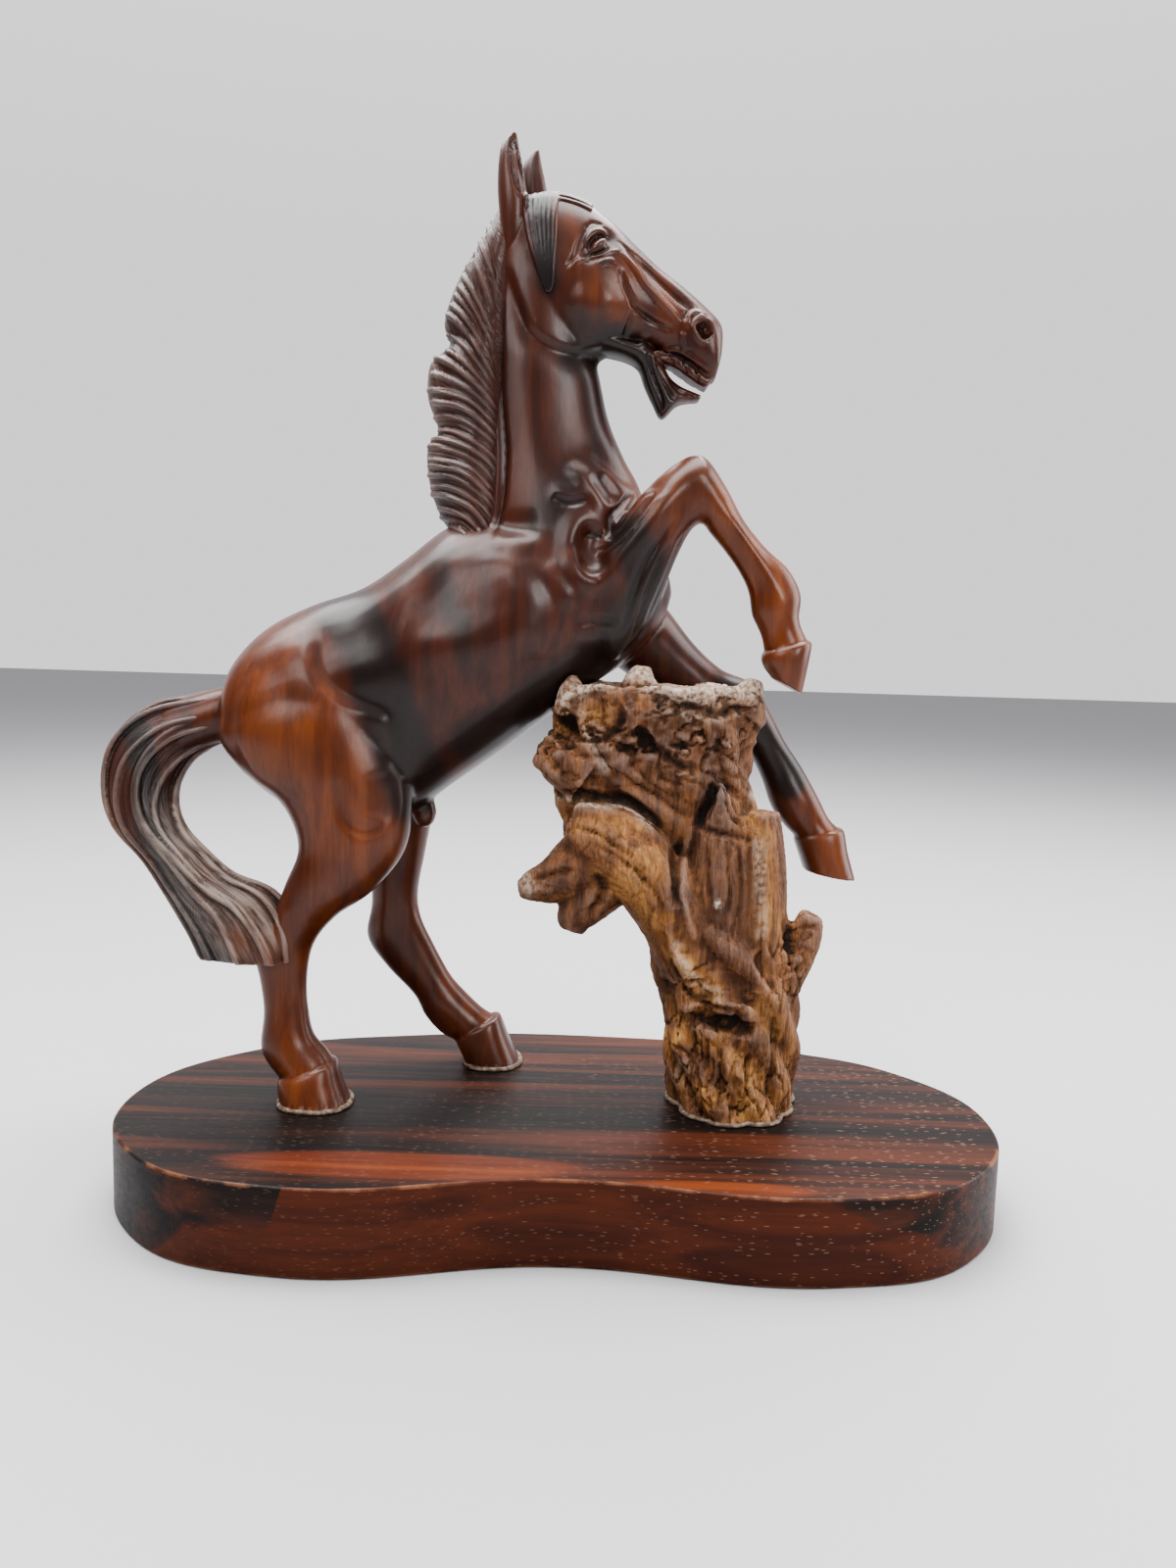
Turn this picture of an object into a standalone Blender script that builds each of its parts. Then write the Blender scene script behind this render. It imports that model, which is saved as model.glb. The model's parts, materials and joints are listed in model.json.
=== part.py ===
"""Carved wooden horse rearing over a root-wood stump, on a kidney-shaped wooden base.

Three separate pieces of wood: the base, the stump and the horse, which is carved in one
with its mane and tail. Metres, +Z up. The origin is on the underside of the base, at its
centre. +X is the way the horse faces, -Y is its right side.
"""
import math

import bmesh
import bpy
import numpy as np
from mathutils import Vector
from mathutils.bvhtree import BVHTree

# Driving dimensions, in metres
BASE_LENGTH = 0.262
BASE_DEPTH = 0.1245
BASE_THICKNESS = 0.025
BASE_WAIST = 0.009  # how far the front edge is drawn in at the middle
BASE_EDGE = 0.0010  # eased top and bottom edges
HORSE_HEIGHT = 0.287  # from the top of the base to the tips of the ears
HORSE_BACK = 0.016  # the middle of the horse stands this far behind the middle of the base
HORSE_ALONG = 0.001  # and this far towards its right-hand end
SEAT_GAP = 0.0003  # between pieces that stand on each other
CHEST_GAP = 0.0006  # between the stump and the chest that lies over it

# The horse and the stump cut to carry it are drawn on one grid, 287 steps to the height
# of the horse. x runs towards the head, z up from the base, y from the horse's middle.
GRID = HORSE_HEIGHT / 287

# How finely the pieces are carved, in steps of the grid and in faces
HORSE_VOXEL = 1.1
STUMP_VOXEL = 1.5
HORSE_FACES = 7000
STUMP_FACES = 2300
RING_SIDES = 28
RINGS_PER_STATION = 4

BODY_SOFTENING = 6  # rounds of smoothing after the limbs are fused
TRIM_SOFTENING = 1  # and after the hooves, tail and mane join them
STUMP_SOFTENING = 2

# The tail is combed into locks that run its whole length
TAIL_LOCKS = 6
TAIL_LOCK_DEPTH = 2.6
TAIL_COMB_LINES = 16  # lines across the tail between two stations
TAIL_REACH = 0.62  # from the middle of a line, as a share of its length
TAIL_ROOT_X = -104.0  # the dock in front of this stays smooth
TAIL_ROOT_RUN = 8.0  # the locks deepen over this much of the dock
TAIL_LOW = 75.0  # below this the tail turns forward again
TAIL_END_RUN = 9.0  # and its locks end this far in front of the dock

# The mane's locks sweep back and up from the line down the neck, steeper near the poll
MANE_ROOT_X = -25.0
MANE_BOTTOM = 168
MANE_TOP = 267
MANE_LOCK_PITCH = 6.6
MANE_LOCK_DEPTH = 3.0
MANE_SWEEP = 14
MANE_SWEEP_RUN = 9
MANE_STEEP_FROM = 215
MANE_STEEP_OVER = 30
MANE_STEEP_SWEEP = 8
MANE_ROOT_GROOVE = 1.2
MANE_ROOT_GROOVE_WIDTH = 2.2
LOCK_MIDDLE = 0.55  # the middle height of a lock whose section is half a sine


# Stations of each limb: one edge point (x, z), the opposite edge point (x, z), then how far
# the middle lies from the horse's middle, and the half width across the horse.
TORSO = [
    (-109, 119, -107, 111, 0, 8),
    (-105, 132, -101, 98, 0, 19),
    (-95, 143, -88, 88, 0, 24),
    (-81, 150.5, -69, 84, 0, 25),
    (-66, 156, -51, 87, 0, 23),
    (-53, 165, -35, 98, 0, 25),
    (-41, 174.5, -20, 109, 0, 26),
    (-31, 178.5, -6, 120, 0, 25),
    (-17, 181, 6, 129, 0, 23),
    (-1, 181, 17, 137, 0, 20),
    (16, 177, 26, 148, 0, 14),
    (26, 168, 29, 157, 0, 6),
]
NECK = [
    (23, 166, -34, 160, 0, 20),
    (19, 186, -34, 179, 0, 16.5),
    (13, 197, -33, 197, 0, 14),
    (8, 208, -32, 213, 0, 12.5),
    (5, 220, -31, 230, 0, 11.5),
    (1.5, 234, -30, 246, 0, 11),
    (-2, 248, -28, 259, 0, 10),
    (-5, 262, -25, 268, 0, 8),
]
HEAD = [
    (-20, 270, -24, 252, 0, 7.5),
    (-12, 273, -19, 239, 0, 11),
    (-2, 271, -10, 227.5, 0, 12),
    (7.5, 264.8, 0, 224, 0, 12),
    (15, 258.2, 8.5, 227, 0, 10.5),
    (22, 252.3, 15, 230, 0, 8.5),
    (29.3, 247.2, 21, 229, 0, 7.5),
    (36, 241.8, 27, 225.5, 0, 7.2),
    (41, 236.5, 33, 221.8, 0, 7.8),
    (41.3, 229, 39, 219, 0, 6.5),
]
JAW = [
    (4, 236, 4, 227.5, 0, 8),
    (13, 232, 12, 227, 0, 7),
    (20, 228, 18.5, 221.5, 0, 6),
    (25.5, 223, 22, 215, 0, 5.4),
    (31, 219, 25.5, 210.5, 0, 5),
    (37.5, 215.8, 32, 213.5, 0, 4),
]
NEAR_HIND_LEG = [
    (-68, 141, -95, 133, -8, 9),
    (-57, 123, -107, 114, -12, 14),
    (-50, 104, -100.5, 101, -14, 13.5),
    (-48, 90, -87.5, 91, -15, 12),
    (-50, 77, -82, 78, -16, 10.5),
    (-59, 65, -86, 66, -17, 8.5),
    (-70, 57, -90, 55, -17, 6.8),
    (-77, 48, -95, 45, -17, 6.4),
    (-79, 37, -93.5, 37, -17, 5.6),
    (-78, 28, -92, 27, -17, 5.6),
    (-75, 19.5, -92, 17, -17, 6.6),
    (-71, 15, -88, 10, -17, 6.8),
    (-70, 8, -85, 5, -17, 6.6),
]
FAR_HIND_LEG = [
    (-60, 130, -100, 122, 9, 12),
    (-45, 106, -92, 104, 13, 14),
    (-45, 90, -80, 86, 15, 11),
    (-48, 72, -68, 67, 17, 8),
    (-50.5, 58, -66, 54, 18, 6.6),
    (-49.5, 49, -67.5, 42, 18, 6.2),
    (-45, 39.5, -61, 32, 18, 5.8),
    (-39.5, 31.5, -51, 23.5, 18, 5.6),
    (-34.5, 24.5, -46, 15.5, 18, 6.6),
    (-28, 20, -42, 9.5, 18, 6.8),
    (-20, 12, -35, 5, 18, 6.6),
]
NEAR_FORELEG = [
    (0, 166, 12, 136, -11, 9),
    (9, 173, 22, 149, -14, 9.5),
    (18, 185, 29, 167, -16, 8.2),
    (27, 193.5, 33, 175, -16, 7),
    (35, 196.5, 36.5, 177, -16, 7),
    (42, 188.5, 38, 174.5, -16, 6.4),
    (48, 178.5, 42.5, 169.5, -16, 5.2),
    (55, 170.5, 47.5, 163, -16, 5),
    (62, 164.5, 50.5, 157, -16, 5.6),
    (66, 157, 51.5, 151, -16, 6.6),
    (66.5, 149.5, 54, 147.5, -16, 5.8),
    (67.5, 140, 56.5, 141.5, -16, 5.8),
]
FAR_FORELEG = [
    (20, 163, 8, 137, 9, 9),
    (30, 151, 19, 130, 12, 9.5),
    (38, 141.5, 29, 124.5, 13, 8.5),
    (47, 134, 39, 118, 13, 7.2),
    (57, 130, 47, 113, 13, 7.2),
    (63, 121, 53.5, 110, 13, 6.6),
    (68, 112, 58, 105, 13, 5.6),
    (74, 103.5, 61.5, 98, 13, 5.6),
    (79.5, 96, 65, 91, 13, 6.6),
    (83, 88.5, 69.5, 84.5, 13, 6.4),
    (88.5, 79, 74.5, 78, 13, 6.4),
]
HOOVES = {
    "near_hind": [(-68.5, 15, -87.5, 9.5, -17, 8), (-67, 8, -86.5, 6, -17, 9), (-64.5, 0, -86.5, 0, -17, 10)],
    "far_hind": [(-20, 18.5, -38.5, 8.5, 18, 8), (-17.5, 9, -35.5, 5, 18, 9), (-14.5, 0, -33, 0, 18, 10)],
    "near_fore": [(70.5, 144.5, 55, 147, -16, 8), (69.5, 137, 55.5, 141, -16, 8.6), (67.5, 128, 57, 134.5, -16, 8)],
    "far_fore": [(90, 84, 73, 80.5, 13, 7.8), (91.5, 76, 75, 75.5, 13, 8.6), (94, 67, 77, 70, 13, 9)],
}
TAIL = [
    (-100, 127, -98, 108, 0, 7),
    (-108, 124.5, -107, 108, 0, 6.5),
    (-118, 122.5, -113, 105.5, 0, 7.5),
    (-129.5, 119.5, -118, 100.5, -1, 9),
    (-138.5, 113, -120.5, 94.5, -3, 10),
    (-142, 101, -121, 90, -5, 10.5),
    (-141, 90, -119.5, 85, -7, 10.5),
    (-135.5, 80, -116.5, 78.5, -9, 10),
    (-126.5, 69, -109, 71, -11, 10),
    (-117.5, 57.5, -99, 65, -13, 9.5),
    (-110.5, 46, -90, 61, -15, 9),
    (-104, 42.5, -85, 54, -16, 8),
    (-94, 43.5, -83, 49, -17, 6.5),
]
MANE = [
    (-19, 268, -27, 267, 0, 6),
    (-18, 258, -34, 257, 0, 8.5),
    (-18, 246, -40.5, 246, 0, 9.8),
    (-18, 235, -43, 235, 0, 10.5),
    (-18, 228, -41.5, 228.5, 0, 11),
    (-18, 222, -47, 223, 0, 11.3),
    (-18, 212, -47.5, 213, 0, 12),
    (-18, 203, -44.5, 203.5, 0, 12.5),
    (-18, 197, -47.5, 198, 0, 13),
    (-18, 187, -46.5, 187, 0, 13.8),
    (-18, 177, -42.5, 177, 0, 14.2),
    (-20, 170, -36, 170.5, 0, 14),
]
EAR = [
    (-15.5, 265, -25.8, 263, 5),
    (-16, 272, -26.4, 271, 4.2),
    (-17.6, 278, -26, 279, 3),
    (-19.2, 283, -24.6, 283.5, 1.9),
    (-20.4, 287, -22.6, 287, 0.9),
]
EAR_FROM_MIDDLE = 6.2
FAR_EAR_FORWARD = 6.0
FORELOCK = [
    (-15, 274, -17, 262, 0, 5.5),
    (-8, 274.5, -12, 263, 0, 7),
    (-1, 271.5, -6, 262, 0, 5),
]
SIDE_LOCK = [
    (-7, 270, -17, 271, 7, 3.5),
    (-6.5, 261, -14.5, 262, 10.5, 3),
    (-7.5, 251, -12, 252, 11.6, 2.5),
    (-8.4, 242, -10.6, 242, 11.4, 1.6),
]

SHEATH_AT = (-46.5, 0, 87)
SHEATH_HALF_HEIGHT = 5.5
SHEATH_RADIUS = 4.2
SHEATH_RINGS = 8

# Strokes of the gouge, seen from the side: points (x, z), the half width of the stroke, its
# depth (below zero where wood is left standing), and which sides of the horse it is on.
NEAR, FAR = -1, 1
STROKES = [
    ([(-72, 140), (-67, 131), (-58, 126)], 8, 2.0, (NEAR, FAR)),
    ([(-78, 143), (-76, 133), (-71, 126), (-64, 121.5), (-56, 122)], 4, -1.4, (NEAR, FAR)),
    ([(-22, 169), (-16, 159), (-10, 145)], 5, -1.6, (NEAR, FAR)),
    ([(-10, 144), (-21, 139), (-36, 139), (-50, 144)], 6, -1.2, (NEAR, FAR)),
    ([(-12, 172), (-6, 158), (-2, 146)], 5, 1.5, (NEAR, FAR)),
    ([(5, 171), (6, 166)], 5.5, 4.5, (NEAR, FAR)),
    ([(7, 177), (1, 176), (-2.5, 169), (0, 161), (6, 158.5)], 3, -1.8, (NEAR, FAR)),
    ([(-62, 97), (-57, 90)], 7, 3.0, (NEAR, FAR)),
    ([(-63, 87), (-57, 82.5), (-51, 84)], 3, -1.2, (NEAR, FAR)),
    ([(-79, 97), (-77, 92), (-78, 86)], 3, 1.2, (NEAR, FAR)),
    ([(30, 168), (24, 152), (17, 140)], 2.4, 1.6, (NEAR,)),
    ([(24, 170), (18, 153), (12, 141)], 2.4, 1.2, (NEAR,)),
    ([(-3, 187), (0, 184)], 4, 1.6, (NEAR, FAR)),
    ([(-20, 246), (-16.5, 236), (-12, 229), (-4, 224.5)], 3, 1.6, (NEAR, FAR)),
    ([(11, 250), (15, 241), (13, 233)], 3, 1.5, (NEAR, FAR)),
    ([(12, 254), (20, 243), (29, 234)], 2.4, -1.1, (NEAR, FAR)),
    ([(17, 252), (25, 244), (31, 238)], 2.6, 1.1, (NEAR, FAR)),
    ([(4, 253), (5, 253)], 3, -1.3, (NEAR, FAR)),
    ([(-2, 258), (4, 259.5), (10, 256)], 2.6, -1.5, (NEAR, FAR)),
    ([(-3, 250), (4, 247), (10, 250)], 2.4, 1.2, (NEAR, FAR)),
    ([(36.5, 232.5), (37, 232)], 2.2, 1.6, (NEAR, FAR)),
]

FLANK_EDGE = 2.0  # strokes fade out over this much next to the horse's middle

# The stump: (left x, right x, height z, middle y, half depth), foot to crown
TRUNK = [
    (34, 71.5, 0, -12, 19),
    (31.5, 71.5, 13, -12, 18.5),
    (30.5, 71.5, 27, -12, 18.5),
    (28, 71.5, 41, -12, 18.5),
    (25, 70, 52, -12, 18.5),
    (15, 66, 63, -11, 17.5),
    (2, 63, 74, -9, 16),
    (-2, 58, 86, -8, 15.5),
    (-5, 55, 98, -8, 16),
    (-9.5, 55, 106, -8, 16.5),
    (-6, 56, 115, -9, 17),
    (-5.5, 57, 124, -9, 17.5),
    (-3, 55.5, 129, -9, 17),
]
# Limbs and broken branches of the stump: centre points (x, y, z) and radius
STUMP_BRANCHES = [
    [(1, -18, 88, 7), (8, -20, 85, 9.5), (20, -21, 77, 11.5), (32, -20, 63, 12), (40, -18, 46, 12)],
    [(6, -16, 76, 11), (-4, -17, 70, 7.5), (-12, -18, 68, 4.6), (-15, -18.5, 67.5, 2.6)],
    [(10, -16, 70, 10), (3, -17, 60, 6.5), (1, -18, 54.5, 3.8)],
    [(64, -16, 42, 9), (69.5, -17, 50, 6.5), (72.5, -17.5, 57, 5), (74, -18, 61.5, 3.2)],
    [(4, -14, 102, 10), (-6, -14, 107, 6.5), (-11, -14, 107.5, 3.2)],
    [(58, -20, 44, 9), (59, -20, 62, 8), (60, -20.5, 80, 6.5), (60, -21, 93.5, 3.8)],
    [(46, -19, 50, 11), (46, -20, 72, 10), (45.5, -21.5, 88, 7), (45, -22, 99.5, 1.8)],
    [(18, -17, 122, 7), (19.5, -18, 131, 4.6), (20, -18, 135, 2.4)],
    [(51, -12, 120, 6), (53, -13, 129, 3.8), (53.5, -13, 132, 2)],
    [(-1, -14, 120, 6), (-1, -15, 128, 3.6), (1, -16, 131, 2)],
]
# Grooves down the root wood: how many go round it, how deep, and how far they lean
STUMP_GROOVES = 9
STUMP_GROOVE_DEPTH = 2.4
STUMP_GROOVE_LEAN = 0.035
STUMP_RIDGE_MIDDLE = 0.6
STUMP_KNOTS = 0.6  # how far the slow swellings stand out
STUMP_HOLLOWING = 1.2  # first paring under the chest, before the faces are thinned out
FACET_ALLOWANCE = 1.6  # corners of large faces are pared this much further than the gap
PARING_REACH = 20

HOOF_TRIM = 0.8  # what lies lower than this is cut flat where it meets the base
STUMP_TRIM = 1.2

BASE_CURVE_STEPS = 7


def smooth_rows(rows, per_span):
    """Rows on a smooth curve that goes through each given row."""
    rows = np.asarray(rows, float)
    before = 2 * rows[0] - rows[1]
    after = 2 * rows[-1] - rows[-2]
    padded = np.vstack([before, rows, after])
    out = []
    for i in range(len(rows) - 1):
        a, b, c, d = padded[i:i + 4]
        for step in range(per_span):
            t = step / per_span
            cubic = (3 * b - a - 3 * c + d) * t ** 3
            square = (2 * a - 5 * b + 4 * c - d) * t ** 2
            out.append((2 * b + (c - a) * t + square + cubic) / 2)
    out.append(rows[-1])
    return np.array(out)


def add_loft(bm, rings):
    """Skins closed rings of equal length into bm and caps both ends."""
    loops = [[bm.verts.new(p) for p in ring] for ring in rings]
    sides = len(loops[0])
    faces = []
    for lower, upper in zip(loops, loops[1:]):
        for i in range(sides):
            j = (i + 1) % sides
            faces.append(bm.faces.new((lower[i], lower[j], upper[j], upper[i])))
    faces.append(bm.faces.new(loops[0][::-1]))
    faces.append(bm.faces.new(loops[-1]))
    bmesh.ops.recalc_face_normals(bm, faces=faces)


def limb_rings(stations, fullness=2.0):
    """Rings across a limb. A fullness of 2 is an ellipse, less is pinched at its edges."""
    angles = np.arange(RING_SIDES) * 2 * math.pi / RING_SIDES
    power = 2.0 / fullness
    along = np.sign(np.cos(angles)) * np.abs(np.cos(angles)) ** power
    across = np.sign(np.sin(angles)) * np.abs(np.sin(angles)) ** power
    rings = []
    for x1, z1, x2, z2, y, half in smooth_rows(stations, RINGS_PER_STATION):
        x = (x1 + x2) / 2 + (x1 - x2) / 2 * along
        z = (z1 + z2) / 2 + (z1 - z2) / 2 * along
        rings.append(np.column_stack([x, y + half * across, z]))
    return rings


def ear_rings(side):
    """A pricked ear: a pointed leaf beside the poll. The far one is turned forward."""
    forward = FAR_EAR_FORWARD if side == FAR else 0
    rows = []
    for x1, z1, x2, z2, half in EAR:
        rows.append((x1 + forward, z1, x2 + forward, z2, side * EAR_FROM_MIDDLE, half))
    return limb_rings(rows)


def mesh_from(rings_list, name):
    """One mesh that holds all the given lofts, still separate and overlapping."""
    bm = bmesh.new()
    for rings in rings_list:
        add_loft(bm, rings)
    mesh = bpy.data.meshes.new(name)
    bm.to_mesh(mesh)
    bm.free()
    return mesh


def evaluated(obj):
    """The object's mesh with its modifiers carried out; the object is removed."""
    graph = bpy.context.evaluated_depsgraph_get()
    graph.update()
    mesh = bpy.data.meshes.new_from_object(obj.evaluated_get(graph))
    bpy.data.objects.remove(obj)
    return mesh


def fuse(mesh, voxel, rounds, strength=0.5):
    """Melts overlapping lofts into one skin, then softens where they meet."""
    obj = bpy.data.objects.new("fusing", mesh)
    bpy.context.scene.collection.objects.link(obj)
    remesh = obj.modifiers.new("one skin", "REMESH")
    remesh.mode = "VOXEL"
    remesh.voxel_size = voxel
    soften = obj.modifiers.new("soften", "SMOOTH")
    soften.iterations = rounds
    soften.factor = strength
    return evaluated(obj)


def thin_out(mesh, faces):
    """Fewer, larger triangles where the surface is calm."""
    obj = bpy.data.objects.new("thinning", mesh)
    bpy.context.scene.collection.objects.link(obj)
    decimate = obj.modifiers.new("thin out", "DECIMATE")
    decimate.use_collapse_triangulate = True
    triangles = sum(len(p.vertices) - 2 for p in mesh.polygons)
    decimate.ratio = min(1.0, faces / triangles)
    return evaluated(obj)


def read_points(mesh):
    """Vertex places and normals as arrays."""
    count = len(mesh.vertices)
    points = np.empty(count * 3)
    normals = np.empty(count * 3)
    mesh.vertices.foreach_get("co", points)
    mesh.vertices.foreach_get("normal", normals)
    return points.reshape(-1, 3), normals.reshape(-1, 3)


def write_points(mesh, points):
    mesh.vertices.foreach_set("co", points.ravel())
    mesh.update()


def stroke_weight(points, path, half_width):
    """1 on the path, seen from the side, down to 0 at half_width from it."""
    flat = points[:, [0, 2]]
    nearest = np.full(len(flat), np.inf)
    for a, b in zip(path, path[1:]):
        a = np.array(a, float)
        run = np.array(b, float) - a
        t = np.clip((flat - a) @ run / (run @ run), 0, 1)
        nearest = np.minimum(nearest, np.linalg.norm(flat - a - t[:, None] * run, axis=1))
    t = np.clip(nearest / half_width, 0, 1)
    return (1 - t * t) ** 2


def carve_strokes(mesh):
    """Works the gouge along every stroke, on the flanks that face sideways."""
    for path, half_width, depth, sides in STROKES:
        points, normals = read_points(mesh)
        weight = stroke_weight(points, path, half_width)
        for side in sides:
            faces_out = np.clip(normals[:, 1] * side * FLANK_EDGE, 0, 1)
            on_side = np.clip(points[:, 1] * side / FLANK_EDGE, 0, 1)
            move = weight * faces_out * on_side * depth
            points = points - normals * move[:, None]
        write_points(mesh, points)


def comb_mane(mesh):
    """Combs locks into the mane. They sweep back and up from the line down the neck."""
    points, normals = read_points(mesh)
    behind = MANE_ROOT_X - points[:, 0]
    height = points[:, 2]
    in_mane = np.clip(behind / FLANK_EDGE, 0, 1) * (height > MANE_BOTTOM) * (height < MANE_TOP)
    steep = np.clip((height - MANE_STEEP_FROM) / MANE_STEEP_OVER, 0, 1)
    swing = 1 - np.exp(-np.clip(behind, 0, None) / MANE_SWEEP_RUN)
    rise = (MANE_SWEEP + MANE_STEEP_SWEEP * steep) * swing + behind * steep
    phase = (height - rise) / MANE_LOCK_PITCH
    lock = np.abs(np.sin(math.pi * phase)) - LOCK_MIDDLE
    root_line = [(MANE_ROOT_X, MANE_TOP), (MANE_ROOT_X, MANE_BOTTOM)]
    root = stroke_weight(points, root_line, MANE_ROOT_GROOVE_WIDTH)
    flank = np.clip(np.abs(points[:, 1]) / FLANK_EDGE, 0, 1)
    move = in_mane * lock * MANE_LOCK_DEPTH - root * flank * MANE_ROOT_GROOVE
    write_points(mesh, points + normals * move[:, None])


def comb_tail(mesh):
    """Combs locks along the tail, side by side from its outer edge to its inner edge."""
    points, normals = read_points(mesh)
    rows = smooth_rows(TAIL, TAIL_COMB_LINES)
    outer, inner = rows[:, 0:2], rows[:, 2:4]
    span = inner - outer
    width = np.linalg.norm(span, axis=1)
    near = np.flatnonzero(points[:, 0] < TAIL_ROOT_X + (points[:, 2] < TAIL_LOW) * TAIL_END_RUN)
    flat = points[near][:, [0, 2]]
    apart = np.linalg.norm(flat[:, None] - (outer + inner) / 2, axis=2)
    line = np.argmin(apart, axis=1)
    share = np.sum((flat - outer[line]) * span[line], axis=1) / width[line] ** 2
    in_tail = apart[np.arange(len(near)), line] < width[line] * TAIL_REACH
    grown = np.clip((TAIL_ROOT_X - flat[:, 0]) / TAIL_ROOT_RUN, 0, 1)
    grown[flat[:, 1] < TAIL_LOW] = 1
    lock = np.abs(np.sin(math.pi * share * TAIL_LOCKS)) - LOCK_MIDDLE
    move = in_tail * grown * lock * TAIL_LOCK_DEPTH
    points[near] += normals[near] * move[:, None]
    write_points(mesh, points)


def flatten_feet(mesh, below):
    """Cuts the hooves, or the foot of the stump, flat at the base."""
    points, _ = read_points(mesh)
    points[points[:, 2] < below, 2] = 0
    write_points(mesh, points)


def carve_horse():
    """The horse on its grid: body, head, legs, tail and mane as one piece of wood."""
    body = [limb_rings(part) for part in (TORSO, NECK, HEAD, NEAR_HIND_LEG, FAR_HIND_LEG)]
    body += [limb_rings(part) for part in (NEAR_FORELEG, FAR_FORELEG)]
    body.append(knob_rings(SHEATH_AT, SHEATH_HALF_HEIGHT, SHEATH_RADIUS))
    skin = fuse(mesh_from(body, "body"), HORSE_VOXEL, BODY_SOFTENING)

    trim = [limb_rings(hoof, fullness=2.3) for hoof in HOOVES.values()]
    trim.append(limb_rings(JAW))
    trim.append(limb_rings(TAIL))
    trim.append(limb_rings(MANE, fullness=1.7))
    trim.append(limb_rings(FORELOCK))
    for side in (NEAR, FAR):
        trim.append(ear_rings(side))
        lock = [(x1, z1, x2, z2, y * side, half) for x1, z1, x2, z2, y, half in SIDE_LOCK]
        trim.append(limb_rings(lock))
    bm = bmesh.new()
    bm.from_mesh(skin)
    for rings in trim:
        add_loft(bm, rings)
    bm.to_mesh(skin)
    bm.free()

    skin = fuse(skin, HORSE_VOXEL, TRIM_SOFTENING)
    carve_strokes(skin)
    comb_mane(skin)
    comb_tail(skin)
    skin = thin_out(skin, HORSE_FACES)
    flatten_feet(skin, HOOF_TRIM)
    return skin


def knob_rings(centre, half_height, radius):
    """A small egg standing on end."""
    turn = np.arange(RING_SIDES) * 2 * math.pi / RING_SIDES
    x, y, z = centre
    rings = []
    for step in range(1, SHEATH_RINGS):
        angle = math.pi * step / SHEATH_RINGS
        across = radius * math.sin(angle)
        height = np.full(RING_SIDES, z - half_height * math.cos(angle))
        rings.append(np.column_stack([x + across * np.cos(turn), y + across * np.sin(turn), height]))
    return rings


def trunk_rings():
    """The eroded trunk: upright rings whose edge is cut by leaning grooves."""
    turn = np.arange(RING_SIDES * 2) * math.pi / RING_SIDES
    rings = []
    for left, right, z, y, half in smooth_rows(TRUNK, RINGS_PER_STATION):
        groove = np.abs(np.sin((turn + z * STUMP_GROOVE_LEAN) * STUMP_GROOVES / 2))
        knots = np.sin(turn * 3 + z * 0.11) + np.sin(turn * 5 - z * 0.17)
        out = (groove - STUMP_RIDGE_MIDDLE) * STUMP_GROOVE_DEPTH + knots * STUMP_KNOTS
        x = (left + right) / 2 + ((right - left) / 2 + out) * np.cos(turn)
        rings.append(np.column_stack([x, y + (half + out) * np.sin(turn), np.full(len(turn), z)]))
    return rings


def branch_rings(path):
    """A round branch that tapers along its centre points."""
    rows = smooth_rows(path, RINGS_PER_STATION)
    turn = np.arange(RING_SIDES) * 2 * math.pi / RING_SIDES
    rings = []
    for i, (x, y, z, radius) in enumerate(rows.tolist()):
        step = rows[min(i + 1, len(rows) - 1)] - rows[max(i - 1, 0)]
        ahead = Vector(step[:3]).normalized()
        side = ahead.cross(Vector((0, 1, 0))).normalized()
        other = ahead.cross(side)
        spokes = [side * math.cos(a) + other * math.sin(a) for a in turn]
        ring = [Vector((x, y, z)) + spoke * radius for spoke in spokes]
        rings.append(np.array([tuple(p) for p in ring]))
    return rings


def keep_clear(mesh, other, gap):
    """Pares mesh back wherever it comes nearer than gap to the other mesh."""
    tree = BVHTree.FromPolygons([v.co for v in other.vertices], [p.vertices for p in other.polygons])
    for vertex in mesh.vertices:
        near, normal, _, _ = tree.find_nearest(vertex.co, PARING_REACH)
        if near is None:
            continue
        out = (vertex.co - near).dot(normal)
        if out < gap:
            vertex.co = near + normal * gap
    mesh.update()


def carve_stump(horse):
    """The root-wood stump, hollowed at its top to fit under the chest of the horse."""
    parts = [trunk_rings()] + [branch_rings(path) for path in STUMP_BRANCHES]
    skin = fuse(mesh_from(parts, "stump"), STUMP_VOXEL, STUMP_SOFTENING)
    keep_clear(skin, horse, STUMP_HOLLOWING)
    skin = thin_out(skin, STUMP_FACES)
    flatten_feet(skin, STUMP_TRIM)
    keep_clear(skin, horse, CHEST_GAP / GRID * FACET_ALLOWANCE)
    return skin


def base_outline():
    """Points round the base: two round ends, a long back, and a waist in the front."""
    half_length = BASE_LENGTH / 2
    half_depth = BASE_DEPTH / 2
    waist = -half_depth + BASE_WAIST
    return [
        (0, waist),
        (0.58 * half_length, -0.955 * half_depth),
        (0.87 * half_length, -0.73 * half_depth),
        (half_length, -0.05 * half_depth),
        (0.86 * half_length, 0.54 * half_depth),
        (0.62 * half_length, 0.82 * half_depth),
        (0.14 * half_length, half_depth),
        (-0.41 * half_length, 0.93 * half_depth),
        (-0.80 * half_length, 0.62 * half_depth),
        (-half_length, -0.02 * half_depth),
        (-0.88 * half_length, -0.73 * half_depth),
        (-0.56 * half_length, -half_depth),
    ]


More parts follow.
